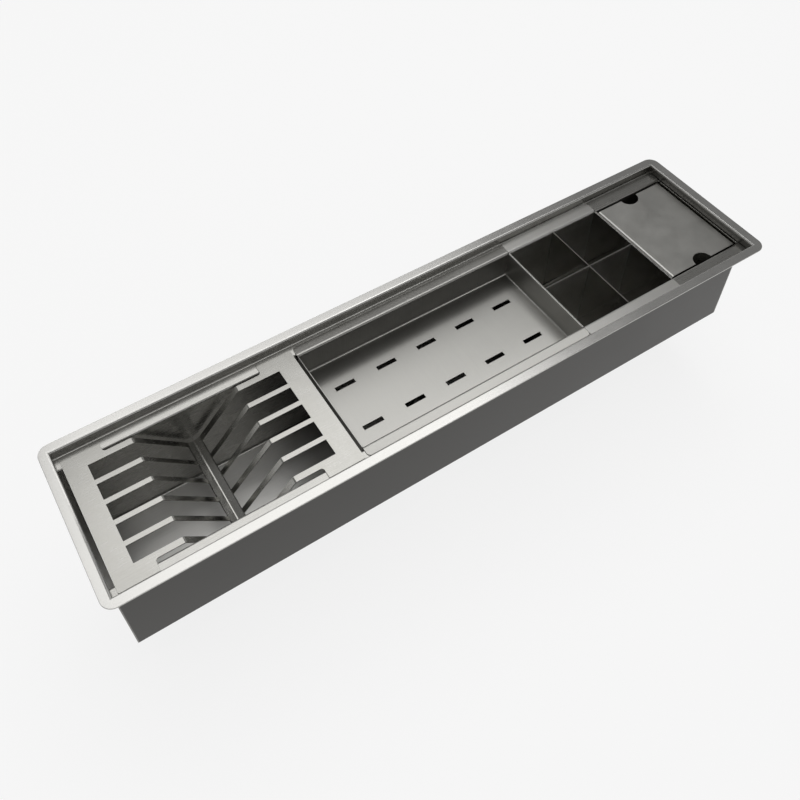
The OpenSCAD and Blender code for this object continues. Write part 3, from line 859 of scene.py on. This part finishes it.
@dataclass
class DishRack:
    """The dish rack: one sheet, cut by laser and folded into plates, bent tines and a V-shaped spine."""

    finishes: Finishes
    sheet_t: float = 1.5
    plate_w: float = 27.5
    tine_len: float = 59.5
    tine_w: float = 7.0
    gap_w: float = 23.8
    gap_count: int = 5
    # Distance from the middle line to the notch between two wings, and length of a wing
    mouth_y: float = 82.0
    wing_len: float = 50.0
    wing_corner: float = 2.0
    notch_corner: float = 4.0
    # Spine: half width, and heights of its edges and of its crease
    spine_half: float = 9.0
    spine_z: float = -77.0
    crease_z: float = -81.0
    tine_fold: float = 4.0
    spine_fold: float = 3.0

    def build(self) -> list[Workpiece]:
        """Make the rack.

        Returns:
            The finished piece.
        """
        left, right = node_box("rack_left_comb"), node_box("rack_right_comb")
        low, high = left[0], right[1]
        middle = (low.x + high.x) / 2
        piece = self.folded_sheet(low, high, middle)
        self.open_gaps(piece, high.x - middle - self.plate_w, middle)
        piece.face_up()
        corners = [(x, y, high.z) for x in (low.x, high.x) for y in (low.y, high.y)]
        with piece.shaping():
            piece.pick(Kind.VERTICES, *map(spot, corners))
            piece.bevel(self.wing_corner, segments=3, affect="VERTICES")
        piece.dress(self.finishes.rack)
        piece.thicken(self.sheet_t)
        piece.cut(*(self.notch(low, high, side) for side in (-1, 1)))
        nodes = "rack_left_comb", "rack_spine", "rack_right_comb"
        return [piece.hand_over("dish_rack", "rack_steel", *nodes, edge=SHEET_EDGE)]

    def folded_sheet(self, low: Vector, high: Vector, middle: float) -> Workpiece:
        """Section from plate to plate, swept front to back.

        Args:
            low: lowest corner of the rack.
            high: its highest corner.
            middle: its middle along X.

        Returns:
            The open sheet, at the height of the rack's upper side.
        """
        fold_x = (high.x - low.x) / 2 - self.plate_w - self.tine_len
        half = [(fold_x, high.z, self.tine_fold), (self.spine_half, self.spine_z, self.spine_fold)]
        section = [(low.x, high.z, 0.0)]
        section += [(middle - x, z, radius) for x, z, radius in half]
        section += [(middle, self.crease_z, self.spine_fold)]
        section += [(middle + x, z, radius) for x, z, radius in half[::-1]]
        section += [(high.x, high.z, 0.0)]
        piece = Workpiece.trace("dish_rack", [Corner((x, low.y, z), radius) for x, z, radius in section])
        piece.sweep(y=high.y - low.y)
        return piece

    def open_gaps(self, piece: Workpiece, plate_x: float, middle: float) -> None:
        """Cut the gaps between the tines out of the sheet.

        Args:
            piece: the folded sheet.
            plate_x: distance from the middle to a plate's inner edge.
            middle: the rack's middle along X.
        """
        spans = []
        with piece.shaping():
            for x in (middle - plate_x, middle + plate_x):
                piece.bisect((x, 0, 0), (1, 0, 0))
            for i in range(self.gap_count):
                centre = (i - (self.gap_count - 1) / 2) * (self.tine_w + self.gap_w)
                y0, y1 = centre - self.gap_w / 2, centre + self.gap_w / 2
                piece.bisect((0, y0, 0), (0, 1, 0))
                piece.bisect((0, y1, 0), (0, 1, 0))
                spans.append(((middle - plate_x, y0, -FAR), (middle - self.spine_half, y1, FAR)))
                spans.append(((middle + self.spine_half, y0, -FAR), (middle + plate_x, y1, FAR)))
            piece.pick(Kind.FACES, *spans)
            bpy.ops.mesh.delete(type="FACE")

    def notch(self, low: Vector, high: Vector, side: int) -> Workpiece:
        """Cutter for the notch between two wings, with rounded inner corners.

        Args:
            low: lowest corner of the rack.
            high: its highest corner.
            side: 1 at the back, -1 at the front.

        Returns:
            The cutter.
        """
        x0, x1 = low.x + self.wing_len, high.x - self.wing_len
        near, far = side * self.mouth_y, side * (high.y + 2 * CLEAR)
        cutter = Workpiece.block("notch", (x0, min(near, far), low.z - 2 * CLEAR),
                                 (x1, max(near, far), high.z + 2 * CLEAR))
        with cutter.shaping():
            cutter.pick(Kind.EDGES, *(((x, near, -FAR), (x, near, FAR)) for x in (x0, x1)))
            cutter.bevel(self.notch_corner, segments=6)
        return cutter


@dataclass(frozen=True)
class PanFinishes:
    """Finishes of a pan: floor and ends, long walls, wings, and the cut edges of what stands in it."""

    floor: bpy.types.Material
    walls: bpy.types.Material
    wings: bpy.types.Material
    edges: bpy.types.Material


@dataclass
class Pan:
    """A pan that hangs in the channel by two wings: one blank, folded and welded at its corners."""

    finishes: PanFinishes
    node: str
    body: str
    name: str
    slot: str
    sheet_t: float = 1.2
    # Distance from the middle line to the front and back walls' inner faces
    mouth_y: float = 82.0
    # How far the end walls stop below the wings
    side_drop: float = 1.0
    wing_fold: float = 4.0
    wing_corner: float = 5.0
    floor_fold: float = 2.8

    def build(self) -> list[Workpiece]:
        """Make the pan and what is fixed in it.

        Returns:
            The finished pieces.
        """
        piece = self.blank()
        self.detail(piece)
        return [piece.hand_over(self.body, self.slot, self.node, edge=SHEET_EDGE), *self.inserts()]

    def detail(self, piece: Workpiece) -> None:
        """Cut or add what this pan has beyond its folded blank."""

    def inserts(self) -> list[Workpiece]:
        """Pieces that stand in this pan."""
        return []

    def blank(self) -> Workpiece:
        """Fold the pan: floor, four walls and two wings.

        Returns:
            The pan with its sheet's thickness.
        """
        low, high = node_box(self.node)
        x0, x1, y1 = low.x + self.sheet_t, high.x - self.sheet_t, self.mouth_y
        floor_z, fold_z = low.z + self.sheet_t, high.z - self.wing_fold
        piece = Workpiece.block(self.name, (x0, -y1, floor_z), (x1, y1, fold_z))
        with piece.shaping():
            piece.pick(Kind.FACES, ((x0, -y1, fold_z), (x1, y1, fold_z)))
            bpy.ops.mesh.delete(type="ONLY_FACE")
            piece.pick(Kind.EDGES, ((x0, -y1, floor_z), (x1, y1, floor_z)))
            piece.bevel(self.floor_fold)
            for x in (x0, x1):
                piece.pick(Kind.EDGES, ((x, -y1, fold_z), (x, y1, fold_z)))
                piece.extrude(z=self.wing_fold - self.side_drop)
            for side in (-1, 1):
                self.wing(piece, x0, x1, side)
        piece.face_up()
        piece.dress(self.finishes.floor, self.finishes.walls, self.finishes.wings)
        piece.thicken(self.sheet_t)
        for side in (-1, 1):
            near, far = sorted((side * self.mouth_y, side * high.y))
            piece.paint(1, (low.x, near, floor_z), (high.x, far, fold_z))
            piece.paint(2, (low.x, near, fold_z), (high.x, far, high.z))
        return piece

    def wing(self, piece: Workpiece, x0: float, x1: float, side: int) -> None:
        """Fold a wing out of the top of the front or back wall.

        Args:
            piece: the pan in edit mode.
            x0: left end of the wall's inner face.
            x1: its right end.
            side: 1 at the back, -1 at the front.
        """
        low, high = node_box(self.node)
        fold_z, wall_y, wing_y = high.z - self.wing_fold, side * self.mouth_y, side * high.y
        piece.pick(Kind.EDGES, ((x0, wall_y, fold_z), (x1, wall_y, fold_z)))
        piece.extrude(z=self.wing_fold)
        bpy.ops.transform.resize(value=((high.x - low.x) / (x1 - x0), 1, 1),
                                 center_override=Vector(((x0 + x1) / 2, wall_y, high.z)) * MM)
        piece.extrude(y=wing_y - wall_y)
        piece.pick(Kind.VERTICES, *(spot((x, wing_y, high.z)) for x in (low.x, high.x)))
        piece.bevel(self.wing_corner, segments=5, affect="VERTICES")
        piece.pick(Kind.EDGES, ((low.x, wall_y, high.z), (high.x, wall_y, high.z)))
        piece.bevel(self.wing_fold - SLACK, segments=6)


@dataclass
class DrainTray(Pan):
    """The shallow tray with two rows of slots."""

    slot_len: float = 30.0
    slot_w: float = 6.5
    slot_pitch: float = 65.6
    row_pitch: float = 72.0
    slot_count: int = 5

    def detail(self, piece: Workpiece) -> None:
        """Cut the slots through the floor.

        Args:
            piece: the folded tray.
        """
        low, high = node_box(self.node)
        first_x = (low.x + high.x - (self.slot_count - 1) * self.slot_pitch - self.slot_len) / 2
        for row_y in (-self.row_pitch / 2, self.row_pitch / 2):
            cutter = Workpiece.block("slots", (first_x, row_y - self.slot_w / 2, low.z - CLEAR),
                                     (first_x + self.slot_len, row_y + self.slot_w / 2, low.z + CLEAR))
            cutter.row_of(self.slot_count, self.slot_pitch)
            piece.cut(cutter)


@dataclass
class CutleryBox(Pan):
    """The deep box, with two half-lapped dividers that make four compartments."""

    divider_t: float = 2.0
    lap_gap: float = 0.1
    # Slope at a divider's lower corners, and width of its softened edges
    foot: float = 2.8
    soft_edge: float = 0.4

    def inserts(self) -> list[Workpiece]:
        """Make the dividers.

        Returns:
            The lengthwise and the crosswise divider.
        """
        return [self.divider("lengthwise_divider", True), self.divider("crosswise_divider", False)]

    def divider(self, node: str, lengthwise: bool) -> Workpiece:
        """Plate on edge, with its feet clear of the box's folds and a slot for the other plate.

        Args:
            node: CAD node that the divider replaces.
            lengthwise: True for the plate along X, whose slot opens downwards.

        Returns:
            The finished piece.
        """
        low, high = node_box(node)
        middle = [(start + end) / 2 for start, end in zip(low, high)]
        half, reach = self.divider_t / 2 + self.lap_gap, 2 * self.divider_t
        if lengthwise:
            feet = [((x, low.y, low.z), (x, high.y, low.z)) for x in (low.x, high.x)]
            x, y, z0, z1 = half, reach, low.z - CLEAR, middle[2]
        else:
            feet = [((low.x, y, low.z), (high.x, y, low.z)) for y in (low.y, high.y)]
            x, y, z0, z1 = reach, half, middle[2], high.z + CLEAR
        piece = Workpiece.block(node + "_plate", low, high)
        with piece.shaping():
            piece.pick(Kind.EDGES, *feet)
            piece.bevel(self.foot, segments=1)
        piece.cut(Workpiece.block("lap", (middle[0] - x, middle[1] - y, z0),
                                  (middle[0] + x, middle[1] + y, z1)))
        piece.dress(self.finishes.walls if lengthwise else self.finishes.floor, self.finishes.edges)
        piece.paint(1, (low.x, low.y, high.z), (high.x, high.y, high.z))
        return piece.hand_over(self.body, self.slot, node, edge=self.soft_edge)


@dataclass
class WasteBin(Pan):
    """The deep bin, with a folded lip along each end that carries the lid."""

    # Width of a lip, and height of the flange that is welded to the wall
    lip_w: float = 7.0
    lip_flange: float = 8.0
    lip_fold: float = 2.0
    lip_z: float = -24.5

    def detail(self, piece: Workpiece) -> None:
        """Weld the lips in: each a strip folded down along the wall.

        Args:
            piece: the folded bin.
        """
        low, high = node_box(self.node)
        for wall_x, inward in ((low.x + self.sheet_t, 1), (high.x - self.sheet_t, -1)):
            edge_x = wall_x + inward * self.lip_w
            corners = [
                Corner((wall_x, -self.mouth_y, self.lip_z - self.lip_flange)),
                Corner((wall_x, -self.mouth_y, self.lip_z), self.lip_fold),
                Corner((edge_x, -self.mouth_y, self.lip_z)),
            ]
            lip = Workpiece.trace("lip", corners)
            lip.sweep(y=2 * self.mouth_y)
            lip.face_up()
            lip.dress(self.finishes.walls)
            lip.thicken(self.sheet_t)
            piece.add(lip)


@dataclass
class BinLid:
    """The bin's lid: a plate with turned-down ends and two finger notches."""

    finishes: Finishes
    sheet_t: float = 1.2
    left_fold: float = 5.0
    right_fold: float = 3.0
    # Gap between the lid's feet and the lips
    seat_gap: float = 0.05
    notch_r: float = 15.0

    def build(self) -> list[Workpiece]:
        """Make the lid.

        Returns:
            The finished piece.
        """
        low, high = node_box("bin_lid")
        corners = [
            Corner((low.x, low.y, low.z + self.seat_gap)),
            Corner((low.x, low.y, high.z), self.left_fold, segments=8),
            Corner((high.x, low.y, high.z), self.right_fold, segments=6),
            Corner((high.x, low.y, low.z + self.seat_gap)),
        ]
        piece = Workpiece.trace("bin_lid_plate", corners)
        piece.sweep(y=high.y - low.y)
        piece.face_up()
        piece.dress(self.finishes.lid)
        piece.thicken(self.sheet_t)
        middle, height = (low.x + high.x) / 2, high.z - low.z + 2 * CLEAR
        for y in (low.y, high.y):
            piece.cut(Workpiece.rod("notch", self.notch_r, (middle, y, low.z - CLEAR), height, sides=64))
        return [piece.hand_over("bin_lid", "lid_steel", "bin_lid", edge=SHEET_EDGE)]


@dataclass(frozen=True)
class Lugs:
    """Lugs on a nut: faces round the nut, faces from one lug to the next, and length of a lug."""

    sides: int
    every: int
    length: float


@dataclass
class Strainer:
    """The drain under the tray: strainer cup, seals, nuts, basket and outlet tube.

    Sections are lists of radius, height and rounding. Radii end in _r and thicknesses in _t.
    """

    finishes: Finishes
    # Gap between a turned part and what it sits on
    fit: float = 0.05
    broken_edge: float = 0.4
    cup_r: float = 42.5
    cup_t: float = 1.8
    flange_t: float = 2.5
    # How wide the flange slopes at its edge and at the cup's mouth, and how far it falls there
    edge_slope: float = 4.0
    edge_drop: float = 0.8
    mouth_slope: float = 1.5
    mouth_drop: float = 1.8
    neck_r: float = 23.9
    neck_bore_r: float = 20.9
    neck_bevel: float = 2.0
    # Inner floor of the cup, where the stopper sits, and underside of the basket's floor
    seat_z: float = -202.0
    basket_z: float = -194.0
    thread_turns: int = 13
    thread_pitch: float = 2.0
    thread_depth: float = 0.5
    crest: float = 0.3
    basket_r: float = 30.8
    basket_t: float = 1.2
    rim_drop: float = 2.5
    rim_inset: float = 0.2
    hole_r: float = 2.2
    # Radius of each ring of holes, and the number of its holes
    hole_rings: tuple[tuple[float, int], ...] = ((27.5, 18), (20.5, 12), (13.5, 8))
    post_r: float = 3.5
    knob_t: float = 4.0
    # Hollow in the knob's top: radii of its floor and of its edge, and depth
    hollow_r: float = 5.4
    hollow_edge_r: float = 7.2
    hollow_depth: float = 1.0
    collar_r: float = 7.0
    collar_t: float = 2.0
    stopper_t: float = 4.0
    tube_r: float = 19.0
    tube_bore_r: float = 17.5
    tube_flange_t: float = 2.0
    washer_bore_r: float = 18.0
    lip_t: float = 3.0
    # Bead rolled in the tube: height above the tube's end, half width at its foot and at its crest
    bead_z: float = 8.0
    bead_foot: float = 1.6
    bead_crest: float = 0.7
    bead_out: float = 0.7
    lock_lugs: Lugs = Lugs(36, 6, 4.0)
    slip_grips: Lugs = Lugs(60, 5, 1.5)

    def build(self) -> list[Workpiece]:
        """Make the pieces.

        Returns:
            The finished pieces.
        """
        cup_bore, post_bore = self.cup_r + self.fit, self.post_r + self.fit
        return [
            self.body(),
            self.ring("gasket_ring", "strainer_gasket", "gasket_rubber", cup_bore, 0.8),
            self.ring("washer_ring", "friction_washer", "washer_plastic", cup_bore, 0.3),
            self.nut("lock_nut_ring", "lock_nut", "nut_metal", cup_bore, cup_bore, self.lock_lugs),
            self.basket(),
            self.post(),
            self.ring("basket_stopper", "basket_seal", "gasket_rubber", post_bore, 1.2, body="basket"),
            self.ring("outlet_washer", "tailpiece_washer", "washer_plastic", self.washer_bore_r, 0.3),
            self.nut("slip_nut", "coupling_nut", "tail_chrome", self.neck_r + self.fit,
                     self.tube_r + self.fit, self.slip_grips),
            self.tailpiece(),
        ]

    @staticmethod
    def turned(name: str, section: Sequence[tuple[float, float, float]], closed: bool = True,
               steps: int = 72) -> Workpiece:
        """Turn a section.

        Args:
            name: name of the piece.
            section: radius, height and rounding of each corner.
            closed: True if the section is a ring, False if it is a line.
            steps: number of steps in the full turn.

        Returns:
            The turned piece.
        """
        corners = [Corner((r, 0, z), rounding, segments=3) for r, z, rounding in section]
        piece = Workpiece.trace(name, corners, closed)
        piece.turn(steps)
        return piece

    def finish(self, piece: Workpiece, node: str, slot: str, body: str = "trough",
               edge: float = 0.0) -> Workpiece:
        """Give a piece the look of its slot and hand it over.

        Args:
            piece: the piece.
            node: CAD node that it replaces.
            slot: material slot of the record.
            body: CAD body that it moves with.
            edge: width of its broken edges.

        Returns:
            The finished piece.
        """
        looks = {
            "strainer_steel": self.finishes.turned,
            "gasket_rubber": self.finishes.rubber,
            "washer_plastic": self.finishes.plastic,
            "nut_metal": self.finishes.cast,
            "tail_chrome": self.finishes.chrome,
        }
        piece.dress(looks[slot])
        return piece.hand_over(body, slot, node, edge=edge)

    def ring(self, name: str, node: str, slot: str, bore: float, rounding: float,
             body: str = "trough") -> Workpiece:
        """Flat ring with rounded edges.

        Args:
            name: name of the piece.
            node: CAD node that it replaces.
            slot: material slot of the record.
            bore: radius of its hole.
            rounding: radius of its outer edges.
            body: CAD body that it moves with.

        Returns:
            The finished piece.
        """
        low, high = node_box(node)
        section = [(bore, low.z, rounding / 2), (high.x, low.z, rounding), (high.x, high.z, rounding),
                   (bore, high.z, rounding / 2)]
        return self.finish(self.turned(name, section), node, slot, body)

    def nut(self, name: str, node: str, slot: str, bore: float, lip_bore: float, lugs: Lugs) -> Workpiece:
        """Ring nut with lugs, and with a lower lip if that is narrower than its bore.

        Args:
            name: name of the piece.
            node: CAD node that it replaces.
            slot: material slot of the record.
            bore: radius of its thread.
            lip_bore: radius of the hole in its lower end.
            lugs: lugs on its outer side.

        Returns:
            The finished piece.
        """
        low, high = node_box(node)
        outer, lip_z = high.x - lugs.length, low.z + self.lip_t
        section = [(lip_bore, low.z, 0.0), (outer, low.z, 0.0), (outer, high.z, 0.0), (bore, high.z, 0.0)]
        if lip_bore < bore:
            section += [(bore, lip_z, 0.0), (lip_bore, lip_z, 0.0)]
        piece = self.turned(name, section, steps=lugs.sides)
        self.pull_lugs(piece, outer, lugs)
        return self.finish(piece, node, slot, edge=self.broken_edge)

    @staticmethod
    def pull_lugs(piece: Workpiece, outer: float, lugs: Lugs) -> None:
        """Extrude every so many faces of the outer side.

        Args:
            piece: the turned nut.
            outer: radius of its outer side.
            lugs: what to pull.
        """
        with piece.shaping():
            bpy.context.tool_settings.mesh_select_mode = (False, False, True)
            bpy.ops.mesh.select_all(action="DESELECT")
            mesh = bmesh.from_edit_mesh(piece.obj.data)
            sides = [face for face in mesh.faces
                     if all(abs(end.co.xy.length / MM - outer) < SLACK for end in face.verts)]
            sides.sort(key=lambda face: math.atan2(*face.calc_center_median().yx))
            for face in sides[::lugs.every]:
                face.select_set(True)
            bmesh.update_edit_mesh(piece.obj.data)
            bpy.ops.mesh.extrude_faces_move(MESH_OT_extrude_faces_indiv={},
                                            TRANSFORM_OT_shrink_fatten={"value": lugs.length * MM})
            piece.face_out()

    def body(self) -> Workpiece:
        """Cup with a rounded flange, a seat for the stopper, a thread for the nut and the outlet's neck.

        Returns:
            The finished piece.
        """
        low, high = node_box("strainer_body")
        cup_r, inner_r, bore_r, seat_z = self.cup_r, self.cup_r - self.cup_t, self.neck_bore_r, self.seat_z
        under_z, outer_z = high.z - self.flange_t, seat_z - self.cup_t
        section = [
            (high.x, under_z, 0.0), (high.x, high.z - self.edge_drop, 0.6),
            (high.x - self.edge_slope, high.z, 3.0), (cup_r + self.mouth_slope, high.z, 3.0),
            (inner_r, high.z - self.mouth_drop, 1.5), (inner_r, seat_z, 3.0),
            (bore_r + self.neck_bevel, seat_z, 1.0), (bore_r, seat_z - self.neck_bevel, 1.0),
            (bore_r, low.z, 0.3), (self.neck_r, low.z, 0.3),
            (self.neck_r, outer_z, 1.0), (cup_r, outer_z, 1.5),
        ]
        for turn in range(self.thread_turns):
            z = seat_z + turn * self.thread_pitch
            section.append((cup_r, z + self.crest, 0.0))
            section.append((cup_r - self.thread_depth, z + self.thread_pitch / 2, 0.0))
        section += [(cup_r, z + self.thread_pitch + self.crest, 0.0), (cup_r, under_z, 0.0)]
        return self.finish(self.turned("strainer_cup", section), "strainer_body", "strainer_steel")

    def basket(self) -> Workpiece:
        """Pressed basket: turned-down rim, wall and a floor with three rings of holes.

        Returns:
            The finished piece.
        """
        low, high = node_box("strainer_basket")
        edge_r, wall_r, floor_z = high.x - self.rim_inset, self.basket_r, low.z + self.basket_t
        section = [(edge_r, high.z - self.rim_drop, 0.0), (edge_r, high.z, 1.6), (wall_r, high.z, 2.0),
                   (wall_r, floor_z, 3.0), (self.post_r + self.fit, floor_z, 0.0)]
        piece = self.turned("basket_cup", section, closed=False)
        piece.face_up()
        piece.thicken(self.basket_t)
        for radius, count in self.hole_rings:
            place = (radius, 0, low.z - CLEAR)
            cutter = Workpiece.rod("holes", self.hole_r, place, 2 * CLEAR, sides=16)
            cutter.ring_of(count)
            piece.cut(cutter)
        piece.clean()
        return self.finish(piece, "strainer_basket", "strainer_steel", "basket")

    def post(self) -> Workpiece:
        """Turned post: a knob with a hollow top, a collar on the basket's floor and two round the stopper.

        Returns:
            The finished piece.
        """
        low, high = node_box("basket_post")
        knob_r, post_r, collar_r, seat_z = high.x, self.post_r, self.collar_r, self.seat_z
        knob_z, floor_z = high.z - self.knob_t, self.basket_z + self.basket_t
        hollow_z = high.z - self.hollow_depth
        section = [
            (0.0, hollow_z, 0.0), (self.hollow_r, hollow_z, 2.0), (self.hollow_edge_r, high.z, 1.5),
            (knob_r, high.z, 1.5), (knob_r, knob_z, 1.5), (post_r, knob_z, 1.0),
        ]
        for top_z, foot_z, rounding in ((floor_z + self.collar_t, floor_z, 0.5),
                                        (self.basket_z, seat_z + self.stopper_t, 0.0)):
            section += [(post_r, top_z, 0.0), (collar_r, top_z, rounding), (collar_r, foot_z, 0.0),
                        (post_r, foot_z, 0.0)]
        section += [(post_r, seat_z, 0.0), (collar_r, seat_z, 0.0), (collar_r, low.z, 0.8),
                    (0.0, low.z, 0.0)]
        piece = self.turned("basket_knob", section, closed=False, steps=48)
        return self.finish(piece, "basket_post", "strainer_steel", "basket")

    def tailpiece(self) -> Workpiece:
        """Outlet tube with a flange at its head and a rolled bead near its end.

        Returns:
            The finished piece.
        """
        low, high = node_box("tailpiece")
        tube_r, bore_r, bead_r = self.tube_r, self.tube_bore_r, self.tube_r + self.bead_out
        bead_z, under_z = low.z + self.bead_z, high.z - self.tube_flange_t
        section = [
            (bore_r, high.z, 0.4), (high.x, high.z, 0.3), (high.x, under_z, 0.3), (tube_r, under_z, 0.5),
            (tube_r, bead_z + self.bead_foot, 0.6), (bead_r, bead_z + self.bead_crest, 0.6),
            (bead_r, bead_z - self.bead_crest, 0.6), (tube_r, bead_z - self.bead_foot, 0.6),
            (tube_r, low.z, 0.3), (bore_r, low.z, 0.3),
        ]
        return self.finish(self.turned("outlet_tube", section), "tailpiece", "tail_chrome")


# Studio


def direction(azimuth: float, elevation: float) -> Vector:
    """Direction at an azimuth, clockwise from the back, and an elevation.

    Args:
        azimuth: azimuth in degrees.
        elevation: elevation in degrees.

    Returns:
        The direction, of length 1.
    """
    turn, rise = math.radians(azimuth), math.radians(elevation)
    return Vector((math.cos(rise) * math.sin(turn), math.cos(rise) * math.cos(turn), math.sin(rise)))


@dataclass(frozen=True)
class Softbox:
    """A rectangular lamp that faces the object, by its direction, distance and size in metres."""

    name: str
    azimuth: float
    elevation: float
    distance: float
    size: tuple[float, float]
    radiance: float

    def hang(self) -> None:
        """Hang the lamp, unseen by the camera itself."""
        data = bpy.data.lights.new(self.name, "AREA")
        data.shape = "RECTANGLE"
        data.size, data.size_y = self.size
        data.energy = self.radiance * math.pi * self.size[0] * self.size[1]
        lamp = bpy.data.objects.new(self.name, data)
        way = direction(self.azimuth, self.elevation)
        lamp.location = way * self.distance
        lamp.rotation_euler = way.to_track_quat("Z", "Y").to_euler()
        lamp.visible_camera = False
        bpy.context.scene.collection.objects.link(lamp)


@dataclass
class Studio:
    """Pale floor, a softbox over the back, a panel overhead and one at the back right, and a dim room.

    Distances are in metres, angles in degrees, and places in the photograph in pixels.
    """

    floor_size: float = 60.0
    floor_gap: float = 0.0005
    floor_colour: str = "#F7F7F7"
    floor_roughness: float = 0.9
    floor_glow: float = 0.82
    lamps: Sequence[Softbox] = (
        Softbox("key softbox", 16.0, 63.0, 6.0, (3.9, 3.1), 1.75),
        Softbox("top panel", 180.0, 84.0, 2.6, (2.6, 1.2), 1.4),
        Softbox("back panel", 68.0, 62.0, 3.0, (0.94, 0.94), 1.6),
    )
    # Light of the room near the horizon and overhead, and the sines of the elevations between them
    room_low: float = 0.85
    room_high: float = 0.27
    room_heights: tuple[float, float] = (0.2, 0.5)
    azimuth: float = 31.448
    elevation: float = 48.148
    roll: float = -0.967
    eye: Point = (-0.44171, -0.59850, 0.93662)
    focal_px: float = 901.24
    centre_px: tuple[float, float] = (383.46, 285.77)
    frame_px: int = 800
    sensor_mm: float = 36.0

    def build(self) -> None:
        """Make the floor, the light and the camera."""
        self.floor()
        for lamp in self.lamps:
            lamp.hang()
        self.room()
        self.camera()
        bpy.context.scene.view_settings.view_transform = "Standard"

    def floor(self) -> None:
        """Lay a plane just under the lowest point."""
        rest()
        height = CAD_BOX[0].z - self.floor_gap
        bpy.ops.mesh.primitive_plane_add(size=self.floor_size, location=(0, 0, height))
        floor = bpy.context.object
        floor.name = "floor"
        material, tree = empty_material("paper backdrop, matt")
        paper = add_node(tree, "ShaderNodeBsdfPrincipled",
                         {"Base Color": linear(self.floor_colour), "Roughness": self.floor_roughness})
        glow = add_node(tree, "ShaderNodeEmission", {"Color": linear("#FFFFFF"), "Strength": 1.0})
        path = add_node(tree, "ShaderNodeLightPath")
        seen = path.outputs["Is Camera Ray"]
        for way in ("Is Glossy Ray", "Is Transmission Ray"):
            seen = add_node(tree, "ShaderNodeMath", {0: seen, 1: path.outputs[way]},
                            operation="MAXIMUM").outputs[0]
        share = add_node(tree, "ShaderNodeMath", {0: seen, 1: self.floor_glow},
                         operation="MULTIPLY").outputs[0]
        both = add_node(tree, "ShaderNodeMixShader",
                        {"Fac": share, 1: paper.outputs["BSDF"], 2: glow.outputs["Emission"]})
        add_node(tree, "ShaderNodeOutputMaterial", {"Surface": both.outputs["Shader"]})
        floor.data.materials.append(material)

    def room(self) -> None:
        """Pale near the horizon and dim above, from the height of the direction."""
        world = bpy.data.worlds.new("room")
        bpy.context.scene.world = world
        world.use_nodes = True
        tree = world.node_tree
        tree.nodes.clear()
        place = add_node(tree, "ShaderNodeTexCoord")
        parts = add_node(tree, "ShaderNodeSeparateXYZ", {"Vector": place.outputs["Generated"]})
        level = add_node(tree, "ShaderNodeMapRange", {
            "Value": parts.outputs["Z"],
            "From Min": self.room_heights[0],
            "From Max": self.room_heights[1],
            "To Min": self.room_low,
            "To Max": self.room_high,
        }, interpolation_type="SMOOTHSTEP")
        shader = add_node(tree, "ShaderNodeBackground",
                          {"Color": linear("#FFFFFF"), "Strength": level.outputs["Result"]})
        add_node(tree, "ShaderNodeOutputWorld", {"Surface": shader.outputs["Background"]})

    def camera(self) -> None:
        """Put the camera where the photograph was taken from."""
        ahead, level = direction(self.azimuth, -self.elevation), direction(self.azimuth + 90, 0)
        above, roll = level.cross(ahead), math.radians(self.roll)
        right = level * math.cos(roll) + above * math.sin(roll)
        up = above * math.cos(roll) - level * math.sin(roll)
        data = bpy.data.cameras.new("camera")
        data.sensor_width = self.sensor_mm
        data.lens = self.focal_px / self.frame_px * data.sensor_width
        data.shift_x = (self.frame_px / 2 - self.centre_px[0]) / self.frame_px
        data.shift_y = (self.centre_px[1] - self.frame_px / 2) / self.frame_px
        camera = bpy.data.objects.new("camera", data)
        place = Matrix((right, up, -ahead)).transposed().to_4x4()
        place.translation = Vector(self.eye)
        camera.matrix_world = place
        bpy.context.scene.collection.objects.link(camera)
        bpy.context.scene.camera = camera


def main() -> None:
    """Build every sub-assembly, report its pieces, and set up the studio."""
    logging.basicConfig(level=logging.INFO, format="%(name)s: %(message)s")
    finishes = Finishes()
    assemblies = [
        Trough(finishes),
        DishRack(finishes),
        DrainTray(PanFinishes(finishes.tray, finishes.tray_wall, finishes.tray, finishes.cut_edge),
                  "drain_tray", "drain_tray", "drain_tray_pan", "tray_steel"),
        CutleryBox(PanFinishes(finishes.inside, finishes.inside_wall, finishes.box_wing, finishes.cut_edge),
                   "cutlery_box", "cutlery_box", "cutlery_box_pan", "box_steel"),
        WasteBin(PanFinishes(finishes.inside, finishes.inside_wall, finishes.bin_wing, finishes.cut_edge),
                 "waste_bin", "waste_bin", "waste_bin_pan", "box_steel"),
        BinLid(finishes),
        Strainer(finishes),
    ]
    for assembly in assemblies:
        for piece in assembly.build():
            faces = len(piece.obj.data.polygons)
            LOG.info("%s: %s, %d faces", type(assembly).__name__, piece.obj.name, faces)
    Studio().build()


if __name__ == "__main__":
    main()
